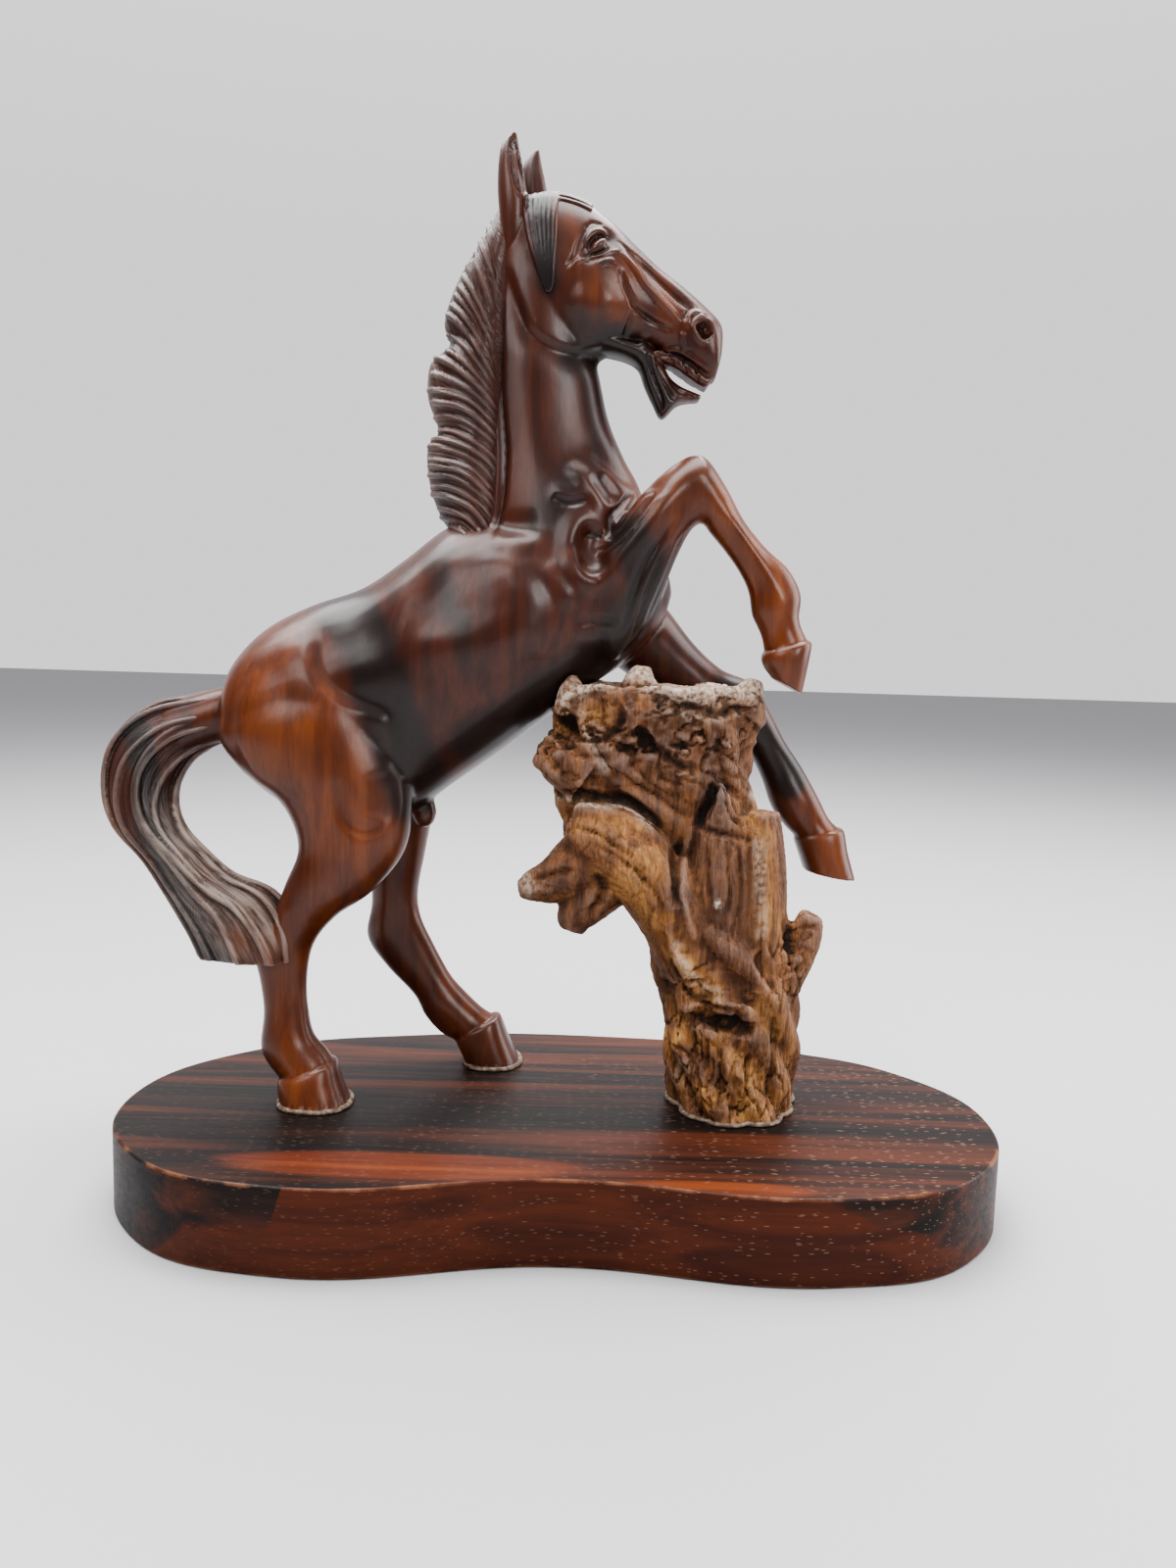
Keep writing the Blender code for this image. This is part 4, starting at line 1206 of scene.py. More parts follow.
def relief(mesh, full):
    """From 1 in a groove to -1 on a ridge, against the smoothed surroundings."""
    points, normals = read_points(mesh)
    ends = np.empty(len(mesh.edges) * 2, int)
    mesh.edges.foreach_get("vertices", ends)
    a, b = ends.reshape(-1, 2).T
    neighbours = np.bincount(ends, minlength=len(points))
    smooth = points
    for _ in range(SMOOTHING_ROUNDS):
        sums = []
        for column in smooth.T:
            sums.append(np.bincount(a, column[b], len(points)) + np.bincount(b, column[a], len(points)))
        smooth = np.column_stack(sums) / neighbours[:, None]
    return np.clip(np.sum((smooth - points) * normals, axis=1) / full, -1, 1)

# %% Handing a finished piece over
def hand_over(name, mesh, material, node=None):
    """Dresses a piece and hands it to the frame in place of a node, if it replaces one."""
    mesh.materials.clear()
    mesh.materials.append(material)
    mesh.shade_smooth()
    obj = linked(name, mesh)
    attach(obj, "root")
    if node:
        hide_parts(node)
    print(name, "has", len(mesh.polygons), "faces")


def set_down(mesh):
    """Scales a piece from the grid to metres and stands it on the plank."""
    points, _ = read_points(mesh)
    write_points(mesh, points * GRID + SEAT)


def cut_flat(mesh, below):
    """Cuts feet flat where they stand on the plank."""
    points, _ = read_points(mesh)
    points[points[:, 2] < below, 2] = 0
    write_points(mesh, points)

# %% Comb lines for the finest strands
def mane_comb(points):
    """Across the locks of the mane, and along them, in steps."""
    behind = mane_root(points[:, 2]) - points[:, 0]
    return np.column_stack([behind, points[:, 2] - mane_rise(points[:, 2], behind), points[:, 1]])


def tail_comb(points):
    """Along the tail, and round it, in steps."""
    rows = smooth_rows(TAIL, 12)
    middles = (rows[:, 0:2] + rows[:, 2:4]) / 2
    lengths = np.r_[0, np.cumsum(np.linalg.norm(np.diff(middles, axis=0), axis=1))]
    flat = points[:, [0, 2]]
    line = np.argmin(((flat[:, None] - middles) ** 2).sum(axis=2), axis=1)
    across = (rows[line, 2:4] - rows[line, 0:2]) / 2
    share = np.sum((flat - middles[line]) * across, axis=1) / np.sum(across ** 2, axis=1)
    turn = np.arctan2((points[:, 1] - rows[line, 4]) / rows[line, 5], share)
    return np.column_stack([lengths[line], turn * 10, np.zeros(len(points))])

# %% Store the values and hand the horse over
HOOF_TRIM = 0.8
cut_flat(body, HOOF_TRIM)
# The last number lifts a piece's hollow value all over, so that the painted groove shade darkens the whole
# forelock
HORSE_PIECES = {
    "horse_body": (body, None, 0.7, 0),
    "horse_mane": (mane, mane_comb, 0.6, 0),
    "horse_tail": (tail, tail_comb, 0.6, 0),
    "horse_forelock": (forelock, None, 0.3, 0.4),
}
for name, (mesh, comb, full, groove_shade_boost) in HORSE_PIECES.items():
    dusty = [] if mesh is body else DUST_ZONES
    paint(mesh, warm=WARM_ZONES, dark=DARK_ZONES, dust=dusty)
    store(mesh, "hollow", np.clip(relief(mesh, full) + groove_shade_boost, -1, 1))
    store(mesh, "combed", np.full(len(mesh.vertices), 0.0 if comb is None else 1.0))
    if comb is not None:
        store(mesh, "strand", comb(read_points(mesh)[0]), "FLOAT_VECTOR")
    set_down(mesh)
    hand_over(name, mesh, HORSE_WOOD, "horse")

# %% [markdown]
# ## The stump
#
# The stump is the foot of a root, eroded until only its hard ribs are left. It is not
# carved, apart from the hollow for the chest, so its forms are irregular: a trunk of leaning
# ribs, broken limbs, a torn rim, ledges where a layer has broken away, and a dark eye of a
# knot. Trunk and limbs are lofts as before, and the layers are strokes on the front.

# %% Trunk and limbs
TRUNK = [
    (34, 71.5, 0, -12, 19),
    (31.5, 71.5, 13, -12, 18.5),
    (30.5, 71.5, 27, -12, 18.5),
    (28, 71.5, 41, -12, 18.5),
    (25, 70, 52, -12, 18.5),
    (15, 66, 63, -11, 17.5),
    (2, 63, 74, -9, 16),
    (-2, 58, 86, -8, 15.5),
    (-5, 55, 98, -8, 16),
    (-9.5, 55, 106, -8, 16.5),
    (-6, 56, 115, -9, 17),
    (-5.5, 57, 124, -9, 17.5),
    (-3, 55.5, 129, -9, 17),
]
STUMP_BRANCHES = [
    [(1, -18, 88, 7), (8, -20, 85, 9.5), (20, -21, 77, 11.5), (32, -20, 63, 12), (40, -18, 46, 12)],
    [(6, -16, 76, 11), (-4, -17, 70, 7.5), (-12, -18, 68, 4.6), (-15, -18.5, 67.5, 2.6)],
    [(10, -16, 70, 10), (3, -17, 60, 6.5), (1, -18, 54.5, 3.8)],
    [(64, -16, 42, 9), (69.5, -17, 50, 6.5), (72.5, -17.5, 57, 5), (74, -18, 61.5, 3.2)],
    [(4, -14, 102, 10), (-6, -14, 107, 6.5), (-11, -14, 107.5, 3.2)],
    [(57.5, -19, 44, 9), (57.5, -19.5, 62, 8.5), (57.5, -20, 80, 7), (57.5, -20.5, 93, 4.4)],
    [
        (45, -19, 50, 11),
        (45, -20, 72, 10),
        (44.3, -21, 86, 7.4),
        (43.9, -23.4, 95, 3.6),
        (43.9, -23.8, 102, 1),
    ],
    [(51, -17.5, 46, 10), (51, -19, 70, 10), (51.5, -19.5, 84, 8), (52, -19, 91.5, 4)],
    [(18, -17, 122, 7), (19.5, -18, 131, 4.6), (20, -18, 135, 2.4)],
    [(51, -12, 120, 6), (53, -13, 129, 3.8), (53.5, -13, 132, 2)],
    [(-1, -14, 120, 6), (-1, -15, 128, 3.6), (1, -16, 131, 2)],
]
print("the trunk has", len(TRUNK), "stations; limbs and ribs:", len(STUMP_BRANCHES))

# %% Rings for trunk and limbs, and room for the chest
STUMP_RIBS, RIB_DEPTH, RIB_LEAN, RIB_MIDDLE = 9, 2.4, 0.035, 0.6
KNOTS = 0.6
STUMP_VOXEL = 0.72
CHEST_GAP = 0.7
CLEAR_FROM, CLEAR_REACH = 90, 20
STUMP_TRIM = 1.2


def trunk_rings():
    turn = np.arange(RING_SIDES * 2) * math.pi / RING_SIDES
    rings = []
    for left, right, z, y, half in smooth_rows(TRUNK, RINGS_PER_STATION):
        rib = np.abs(np.sin((turn + z * RIB_LEAN) * STUMP_RIBS / 2))
        knots = np.sin(turn * 3 + z * 0.11) + np.sin(turn * 5 - z * 0.17)
        out = (rib - RIB_MIDDLE) * RIB_DEPTH + knots * KNOTS
        x = (left + right) / 2 + ((right - left) / 2 + out) * np.cos(turn)
        rings.append(np.column_stack([x, y + (half + out) * np.sin(turn), np.full(len(turn), z)]))
    return rings


def branch_rings(path):
    """A round branch that tapers along its centre points."""
    rows = smooth_rows(path, RINGS_PER_STATION)
    turn = np.arange(RING_SIDES) * 2 * math.pi / RING_SIDES
    rings = []
    for i, (x, y, z, radius) in enumerate(rows.tolist()):
        step = rows[min(i + 1, len(rows) - 1)] - rows[max(i - 1, 0)]
        ahead = Vector(step[:3]).normalized()
        side = ahead.cross(Vector((0, 1, 0))).normalized()
        other = ahead.cross(side)
        spokes = [side * math.cos(a) + other * math.sin(a) for a in turn]
        rings.append(np.array([tuple(Vector((x, y, z)) + spoke * radius) for spoke in spokes]))
    return rings


def keep_clear(mesh, tree, gap):
    """Pares mesh back wherever it comes nearer than gap to the horse."""
    for vertex in mesh.vertices:
        if vertex.co.z < CLEAR_FROM:
            continue
        near, normal, *_ = tree.find_nearest(vertex.co, CLEAR_REACH)
        if near is not None and (vertex.co - near).dot(normal) < gap:
            vertex.co = near + normal * gap
    mesh.update()

# %% Folds, ledges and holes on its front
STUMP_FOLDS = [
    # Crown
    ([(3.5, 120.3), (5.4, 113.4), (9.9, 106.6), (12.7, 100.6)], 2.6, 2.0, VEE),
    ([(21.5, 119.9), (20, 113.9), (25.3, 110.6), (32.4, 106.4), (38.4, 105.7)], 2.6, 2.0, VEE),
    ([(9.9, 106.6), (18.7, 100.8), (25.8, 97.5), (32.9, 92.5), (36.5, 90.8)], 2.6, 1.9, VEE),
    ([(19.4, 106), (23.1, 100.9), (29.3, 97.6), (32.8, 96.8)], 2.2, 1.5, VEE),
    ([(21.2, 127), (28.2, 123.6), (35.1, 123.8), (42.9, 122.3), (48.8, 123.4), (54.1, 121)], 2.2, 1.8, VEE),
    ([(21, 130), (30, 128), (40, 128), (52, 129)], 2.6, -1.4),
    ([(-6, 121), (-2, 126), (4, 128), (14, 131)], 2.6, -1.2),
    ([(27.8, 113.2), (32.1, 112.5), (34.6, 114.3), (35.4, 116), (39.8, 115.3)], 1.4, 1.6, VEE),
    ([(44, 118), (43, 110), (46, 103)], 2.2, 1.4, VEE),
    ([(12, 126), (13, 119), (10, 113)], 2.4, 1.4),
    ([(-4.4, 121), (-2, 118), (0, 113)], 2.8, 1.8),
    ([(18, 117), (21, 113.4), (23, 110)], 2.8, 1.8),
    ([(14, 114), (17, 109.6), (19, 104)], 2.6, 1.4),
    # The ledge over the broken limb
    ([(-7.1, 96.4), (-0.1, 96.8), (10.3, 96.4), (16.4, 95.4), (22.5, 91.6), (28, 87.2)], 2.4, 2.6, VEE),
    ([(-7.1, 92.8), (-0.1, 93), (10.3, 92.4), (16.4, 91.7), (21.7, 88.4), (31.5, 82.5)], 2.4, -1.6),
    ([(-10.9, 109.5), (-6.7, 112.9), (-4, 108.8), (-6.4, 104.4), (-0.2, 99.6)], 2.2, -1.2),
    # The long hole, and the sliver beside it
    ([(31.4, 83), (32.3, 74.8), (32.2, 65.9)], 3.4, 3.2),
    ([(35.7, 89), (34.6, 82), (33.6, 74.8), (34, 65.9), (37.9, 55.3)], 1.8, -1.4),
    # Post and spike
    ([(37.4, 88.6), (45.2, 87.4), (54, 85.6)], 1.8, 1.3, VEE),
    ([(37.4, 88), (40, 94.4), (42.4, 102)], 2.0, 2.2, VEE),
    ([(50, 89), (47.4, 94.4), (45.4, 102)], 2.0, 2.2, VEE),
    ([(52.4, 98), (52, 91), (52.4, 80), (53.4, 62)], 1.8, 0.8, VEE),
    ([(40, 84), (41, 72), (43, 62)], 1.4, 0.9, VEE),
    ([(46, 86), (47, 74), (46.5, 60)], 1.4, 0.9, VEE),
    ([(49.6, 84), (50.4, 70), (49, 58)], 1.2, 0.8, VEE),
    # Waist, with the knot's dark eye
    ([(29.6, 51), (33, 44.6), (37.4, 38.4), (47, 35)], 1.5, 1.1, VEE),
    ([(29, 61.7), (31.8, 52.6), (35.2, 47.8), (39.6, 43)], 2.2, -0.9),
    ([(34.4, 29), (40, 31.4), (48, 30.6), (56.4, 29)], 3.4, 4.0),
    ([(33.4, 33), (42.2, 37), (51.1, 36.6), (57.6, 33)], 2.4, -1.4),
    # The limb at the right, and the foot
    ([(55.5, 52), (59, 46), (63, 40)], 2.4, 2.0, VEE),
    ([(64, 62), (66.3, 54), (67, 46)], 2.0, 1.2, VEE),
    ([(62, 34), (63, 20), (61, 8)], 1.8, 1.5, VEE),
    ([(46, 24), (47.5, 14), (46, 4)], 1.5, 1.1, VEE),
    ([(39, 22), (38, 12), (40, 3)], 1.5, 1.1, VEE),
    ([(54, 22), (55, 12), (53, 4)], 1.5, 1.1, VEE),
    # The broken limb
    ([(-12, 71), (-6, 73), (2, 75)], 1.6, 1.2, VEE),
    ([(6, 84), (14, 80), (24, 72), (29, 62)], 1.5, 1.0, VEE),
    ([(0, 88), (8, 86.5), (18, 80)], 1.5, 1.0, VEE),
    ([(7, 74), (10, 68), (6, 60)], 2.2, 1.8),
]
print("strokes on the stump:", len(STUMP_FOLDS))

# %% Melt the stump and carve it
roots = [trunk_rings()] + [branch_rings(path) for path in STUMP_BRANCHES]
stump = fuse(mesh_from(roots), STUMP_VOXEL, 2)
points, _ = read_points(stump)
middle_y = np.interp(points[:, 2], [row[2] for row in TRUNK], [row[3] for row in TRUNK])
shift = np.column_stack([np.zeros(len(points)), middle_y, np.zeros(len(points))])
write_points(stump, points - shift)
carve(stump, STUMP_FOLDS)
points, _ = read_points(stump)
write_points(stump, points + shift)
print("the carved stump has", len(stump.polygons), "faces")

# %% [markdown]
# ## Fibres, folds and cracks
#
# What is left is too fine and too irregular to draw by hand. Geometry Nodes push the surface
# in and out with noise: stretched along the grain it makes fibres, folded over where it
# crosses its middle value it makes the draped layers of the crown, and the borders between
# the cells of a Voronoi pattern make cracks in the bark. A painted value says where each
# of them is at work.

# %% A Geometry Nodes tree for weathered root wood
ROOT_WOOD = bpy.data.materials.new("raw_root_wood")
WEATHER_TREE, given, result, WEATHER_INPUTS = new_tree("GeometryNodeTree", "weathered wood", {
    "Wood": ("Geometry", None),
    "Fibre Depth": ("Float", 1.0),
    "Fold Depth": ("Float", 1.0),
    "Crack Depth": ("Float", 1.0),
    "Grit Depth": ("Float", 1.0),
    "Seed": ("Float", 3.0),
    "Finish": ("Material", None),
}, {"Weathered": "Geometry"})
tree = WEATHER_TREE
at = add(tree, "GeometryNodeInputPosition").outputs[0]
facing = add(tree, "GeometryNodeInputNormal").outputs[0]

# %% Fibres, folds, cracks and grit
def stretched(tree, spot, factors):
    return add(tree, "ShaderNodeVectorMath", {0: spot, 1: factors}, operation="MULTIPLY").outputs[0]


def rough(factors, detail, distortion):
    """Noise round zero, stretched by its own factor along each axis."""
    wanted = {"Vector": stretched(tree, at, factors), "W": given["Seed"], "Scale": 1.0}
    wanted.update({"Detail": detail, "Distortion": distortion})
    value = add(tree, "ShaderNodeTexNoise", wanted, noise_dimensions="4D").outputs[0]
    return calc(tree, "SUBTRACT", value, 0.5)


FIBRE_GRAIN = (0.9, 0.9, 0.05)
FOLD_GRAIN = (0.045, 0.045, 0.085)
BARK_GRAIN = (0.26, 0.26, 0.07)
GRIT_GRAIN = (0.5, 0.5, 0.6)
fibre = times(tree, rough(FIBRE_GRAIN, 3.0, 0.2), given["Fibre Depth"], named(tree, "fibrous"))
layer = rough(FOLD_GRAIN, 2.0, 1.4)
crease = spread(tree, calc(tree, "ABSOLUTE", layer), 0.0, 0.03, -0.45, 0.0)
fold = plus(tree, times(tree, layer, 3.0), crease)
fold = times(tree, fold, given["Fold Depth"], named(tree, "folded"))
wanted = {"Vector": stretched(tree, at, BARK_GRAIN), "Scale": 1.0}
cells = add(tree, "ShaderNodeTexVoronoi", wanted, feature="DISTANCE_TO_EDGE")
crack = spread(tree, cells.outputs["Distance"], 0.0, 0.07, -1.0, 0.0)
crack = times(tree, crack, given["Crack Depth"], named(tree, "cracked"))
grit = times(tree, rough(GRIT_GRAIN, 4.0, 0.6), given["Grit Depth"])
total = plus(tree, plus(tree, fibre, fold), plus(tree, crack, grit))
offset = add(tree, "ShaderNodeVectorMath", {0: facing, "Scale": total}, operation="SCALE").outputs[0]
moved = add(tree, "GeometryNodeSetPosition", {"Geometry": given["Wood"], "Offset": offset}).outputs[0]
tree.links.new(painted_mesh(tree, moved, given["Finish"]), result["Weathered"])
print("the tree for root wood has", len(tree.nodes), "nodes")

# %% Where each kind of weathering is at work
FIBROUS_ZONES = [
    ([(46, 92), (46, 60)], 15, 1.0),
    ([(59, 92), (59, 50)], 9, 0.8),
    ([(46, 26), (54, 4)], 24, 1.0),
    ([(16, 84), (30, 66)], 12, 0.35),
    ([(40, 44), (46, 34)], 12, 0.5),
]
FOLDED_ZONES = [
    ([(-6, 114), (16, 116), (36, 114), (54, 114)], 24, 1.0),
    ([(-12, 70), (4, 66), (16, 76)], 12, 0.35),
    ([(36, 44), (50, 36)], 14, 0.7),
    ([(70, 60), (68, 46)], 9, 0.6),
]
CRACKED_ZONES = [
    ([(34, 24), (44, 12), (58, 6)], 22, 1.0),
    ([(62, 50), (66, 40)], 12, 0.8),
    ([(0, 88), (14, 82), (28, 62)], 12, 0.45),
]
print("zones:", len(FIBROUS_ZONES + FOLDED_ZONES + CRACKED_ZONES))

# %% Weather the stump and keep it clear of the chest
paint(stump, fibrous=FIBROUS_ZONES, folded=FOLDED_ZONES, cracked=CRACKED_ZONES)
stump = through_tree(stump, WEATHER_TREE, WEATHER_INPUTS, {
    "Fibre Depth": 1.9,
    "Fold Depth": 2.6,
    "Crack Depth": 1.1,
    "Grit Depth": 0.8,
    "Seed": 3.0,
    "Finish": ROOT_WOOD,
})
keep_clear(stump, horse_skin, CHEST_GAP)
cut_flat(stump, STUMP_TRIM)
print("the weathered stump has", len(stump.vertices), "points")

# %% [markdown]
# ## Where the root is ochre, dark or pale
#
# Broken layers show ochre wood, holes and shaded hollows are dark, and dust has settled on
# the rim and the upper edges. These parts could be found from the slope of the surface, but
# on the real root they follow its history more than its shape, so they are strokes again.

# %% Ochre, dark and pale parts of the root
OCHRE_ZONES = [
    ([(-8, 93), (0, 91), (16, 86), (26, 76)], 9, 0.62),
    ([(14, 74), (26, 64), (34, 52)], 9, 0.6),
    ([(29, 62), (33, 52), (37, 46), (44, 40)], 6, 1.0),
    ([(34, 22), (44, 12), (56, 4)], 20, 1.0),
    ([(60, 40), (64, 20)], 10, 0.6),
    ([(66, 60), (70, 52)], 10, 0.4),
    ([(8, 120), (-4, 116)], 6, 0.5),
    ([(54, 94), (58, 80), (58, 60)], 6, 0.4),
]
DARK_ROOT_ZONES = [
    ([(10, 108), (26, 106), (46, 110)], 16, 0.35),
    ([(-16, 70), (-6, 70), (4, 66), (2, 56)], 10, 0.75),
    ([(42, 90), (44, 76), (45, 58)], 11, 1.0),
    ([(43.8, 101), (44, 90)], 5, 0.9),
    ([(38, 30.5), (46, 30), (54, 30.5)], 4.5, 1.0),
    ([(31.5, 82), (32.2, 66)], 3.5, 0.9),
    ([(62, 36), (62, 10)], 8, 0.6),
    ([(-3, 119.5), (0, 121)], 3.4, 0.8),
    ([(20.6, 115), (21.2, 114)], 3, 0.9),
]
STUMP_RELIEF = 0.9
PALE_ZONES = [
    ([(-4, 125), (6, 130), (18, 134), (24, 129.5), (34, 127.5), (46, 128.5), (54, 129)], 5.8, 1.0),
    ([(2, 121), (6, 112), (10, 105)], 2.6, 0.4),
    ([(23, 126), (34, 121), (48, 122)], 3, 0.4),
    ([(-8, 94.6), (0, 95), (10.3, 94.4), (16.4, 93.7), (24, 89)], 1.6, 0.8),
    ([(55.9, 84.4), (57.2, 57.7)], 3, 0.5),
    ([(55, 97), (59, 97)], 3, 0.7),
    ([(-14, 72), (-12, 68)], 4, 0.5),
    ([(32, 54), (34.6, 48.4), (39, 43), (45.6, 39)], 3, 0.65),
    ([(36, 16), (35, 10)], 4, 0.35),
    ([(43.8, 67.1), (43.8, 66.5)], 1.6, 1.4),
]
print("zones:", len(OCHRE_ZONES + DARK_ROOT_ZONES + PALE_ZONES))

# %% Store them and hand the stump over
paint(stump, warm=OCHRE_ZONES, dark=DARK_ROOT_ZONES, dust=PALE_ZONES)
store(stump, "hollow", relief(stump, STUMP_RELIEF))
set_down(stump)
hand_over("stump_wood", stump, ROOT_WOOD, "stump")

# %% [markdown]
# ## The plank
#
# The plank is a flat board sawn to a kidney outline and rounded over very slightly at its
# edges. A 2D curve with a bevel does exactly that: the curve is the saw cut, the extrusion is
# the thickness and the bevel is the worn arris. On the front the dark heart gives way to
# warm sapwood along a wandering line, so each vertex stores how far it lies below that line.

# %% The outline as shares of half the length and half the depth
PLANK_ARRIS = 0.0010
PLANK_STEPS = 24
PLANK_LENGTH, PLANK_DEPTH = 0.262, 0.1245
half_length = PLANK_LENGTH / 2
half_depth = PLANK_DEPTH / 2
half_thickness = (PLANK_HIGH.z - PLANK_LOW.z) / 2
PLANK_WAIST = 0.009
OUTLINE = [
    (0, PLANK_WAIST / half_depth - 1),
    (0.58, -0.955),
    (0.87, -0.73),
    (1, -0.05),
    (0.86, 0.54),
    (0.62, 0.82),
    (0.14, 1),
    (-0.41, 0.93),
    (-0.80, 0.62),
    (-1, -0.02),
    (-0.88, -0.73),
    (-0.56, -1),
]
EBONY = bpy.data.materials.new("striped_ebony")
curve = bpy.data.curves.new("plank", "CURVE")
curve.dimensions = "2D"
curve.fill_mode = "BOTH"
curve.resolution_u = PLANK_STEPS
curve.extrude = half_thickness - PLANK_ARRIS
curve.bevel_depth = PLANK_ARRIS
curve.bevel_resolution = 3
curve.offset = -PLANK_ARRIS
spline = curve.splines.new("BEZIER")
spline.bezier_points.add(len(OUTLINE) - 1)
spline.use_cyclic_u = True
for point, (x, y) in zip(spline.bezier_points, OUTLINE):
    point.co = (x * half_length, y * half_depth, 0)
    point.handle_left_type = "AUTO"
    point.handle_right_type = "AUTO"
plank = evaluated(linked("plank outline", curve))
print("the outline has", len(OUTLINE), "points")

# %% Close its seams, and store where the sapwood begins
SAP_LINE = [
    (-131, -4), (-110, 0), (-106, 3.6), (-101.7, 7.6), (-97, 11.6), (-93, 13.6), (-88, 13.4),
    (-83, 14.6), (-76, 13.4), (-72.8, 15), (-71.5, 27), (66, 27), (78.5, 21.2), (86.2, 18.3),
    (97.1, 13.8), (109.6, 7), (131, -4),
]
bm = bmesh.new()
bm.from_mesh(plank)
bmesh.ops.translate(bm, verts=bm.verts, vec=(0, 0, half_thickness + PLANK_LOW.z))
bmesh.ops.remove_doubles(bm, verts=bm.verts, dist=0.00002)
bmesh.ops.recalc_face_normals(bm, faces=bm.faces)
bm.to_mesh(plank)
bm.free()
points, normals = read_points(plank)
sap_top = np.interp(points[:, 0] * MM_PER_M, *zip(*SAP_LINE))
store(plank, "sap", sap_top - points[:, 2] * MM_PER_M)
store(plank, "front", np.clip(-points[:, 1] / 0.02, 0, 1) * (np.abs(normals[:, 2]) < 0.95))
store(plank, "arris", (np.abs(normals[:, 2]) > 0.2) & (np.abs(normals[:, 2]) < 0.97))
loose = sum(1 for edge in plank.edges if edge.is_loose)
print("loose edges in the plank:", loose)
hand_over("base_plank", plank, EBONY, "base")

# %% [markdown]
# ## Glue round the feet
#
# The hind hooves and the stump are glued down, and the glue that was squeezed out has dried
# to a thin, dusty, uneven bead. A bead is a lock of hair lying on the plank, so the same tree
# makes it, with more unevenness.

# %% Lines round the foot of each hoof and of the stump
GLUE = bpy.data.materials.new("dried_glue")
BEAD, BEAD_SWING = 0.3, 0.3
BEAD_HEIGHT = 0.05
BEAD_OUTSIDE = 0.1
BEAD_SUNK = 0.25
FOOT_HEIGHT = 1.5
FOOT_SPOKES = 60


def bead_round(ring, grow, seed):
    """A closed line just outside a ring of points, lying on the plank."""
    middle = ring.mean(axis=0)
    line = []
    for i in range(len(ring) + 1):
        p = ring[i % len(ring)]
        out = p - middle
        out = out / np.linalg.norm(out[:2])
        wave = math.sin(i * 0.5 + seed) + math.sin(i * 1.1 + seed * 2)
        girth = BEAD * (1 + BEAD_SWING * wave)
        line.append((p[0] + out[0] * grow, p[1] + out[1] * grow, BEAD_HEIGHT, girth))
    return line


def foot_ring(points):
    """The outermost point of a foot in each of many directions."""
    centre = (points.min(axis=0) + points.max(axis=0)) / 2
    centre[2] = 0
    turn = np.arctan2(points[:, 1] - centre[1], points[:, 0] - centre[0])
    reach = np.linalg.norm((points - centre)[:, :2], axis=1)
    step = 2 * math.pi / FOOT_SPOKES
    ring = []
    for i in range(FOOT_SPOKES):
        low = -math.pi + i * 2 * math.pi / FOOT_SPOKES
        inside = (turn >= low) & (turn < low + step)
        if inside.any():
            middle = low + step / 2
            far = reach[inside].max()
            ring.append(centre + (far * math.cos(middle), far * math.sin(middle), 0))
    return np.array(ring)

# %% Lay the beads of glue
beads = []
for count, hoof in enumerate((HOOVES["near_hind"], HOOVES["far_hind"])):
    ring = limb_rings(hoof, fullness=HOOF_FULLNESS)[-1]
    beads.append(bead_round(ring, BEAD_OUTSIDE, count))
points, _ = read_points(stump)
points = (points - SEAT) / GRID
beads.append(bead_round(foot_ring(points[points[:, 2] < FOOT_HEIGHT]), -BEAD_OUTSIDE, 5))
glue = sweep_locks(beads, thickness=0.9, sides=8, step=0.7, seed=2)
points, _ = read_points(glue)
points[:, 2] = np.clip(points[:, 2], -BEAD_SUNK, None)
write_points(glue, points)
set_down(glue)
hand_over("glue_beads", glue, GLUE)

# %% [markdown]
# ## Finishes
#
# All three woods have streaks that run with the grain, and the horse and the stump both have
# the wear and dust that come with age and shade painted into their grooves, so each of these
# effects is a shader node group that a material uses with its own values. The plank's open
# pores are a third group, which keeps its material short. A picture of wood could be wrapped
# round the pieces instead, but it would stretch on the limbs, while noise in space runs
# through them as real grain does.

# %% More helpers for node trees
# A Mix node has sockets for each kind of data: 6 and 7 and output 2 are those for colours,
# 4 and 5 and output 1 those for vectors.
def mix(tree, factor, a, b, blend="MIX"):
    node = add(tree, "ShaderNodeMix", {0: factor, 6: a, 7: b}, data_type="RGBA", blend_type=blend)
    return node.outputs[2]


def darkened(tree, factor, colour, share, towards):
    """The colour drawn by a share towards a darker one, where the factor is 1."""
    return mix(tree, factor, colour, mix(tree, share, colour, towards))


def noise(tree, spot, scale, detail, **more):
    wanted = {"Vector": spot, "Scale": scale, "Detail": detail, **more}
    return add(tree, "ShaderNodeTexNoise", wanted).outputs[0]


def value_of(tree, name):
    return add(tree, "ShaderNodeAttribute", attribute_name=name).outputs["Fac"]

# %% The group for streaks
STREAKS, given, result, _ = new_tree(
    "ShaderNodeTree",
    "wood streaks",
    {"Place": ("Vector", None), "Stretch": ("Vector", (500, 500, 30)), "Swirl": ("Float", 0.6)},
    {"Broad": "Float", "Fine": "Float"},
)
tree = STREAKS
scaled = stretched(tree, given["Place"], given["Stretch"])
broad = noise(tree, scaled, 0.35, 4.0, Distortion=given["Swirl"])
fine = noise(tree, scaled, 2.2, 3.0, Roughness=0.6)
tree.links.new(spread(tree, broad, 0.36, 0.64), result["Broad"])
tree.links.new(spread(tree, fine, 0.35, 0.7), result["Fine"])
print("streaks:", len(tree.nodes), "nodes")

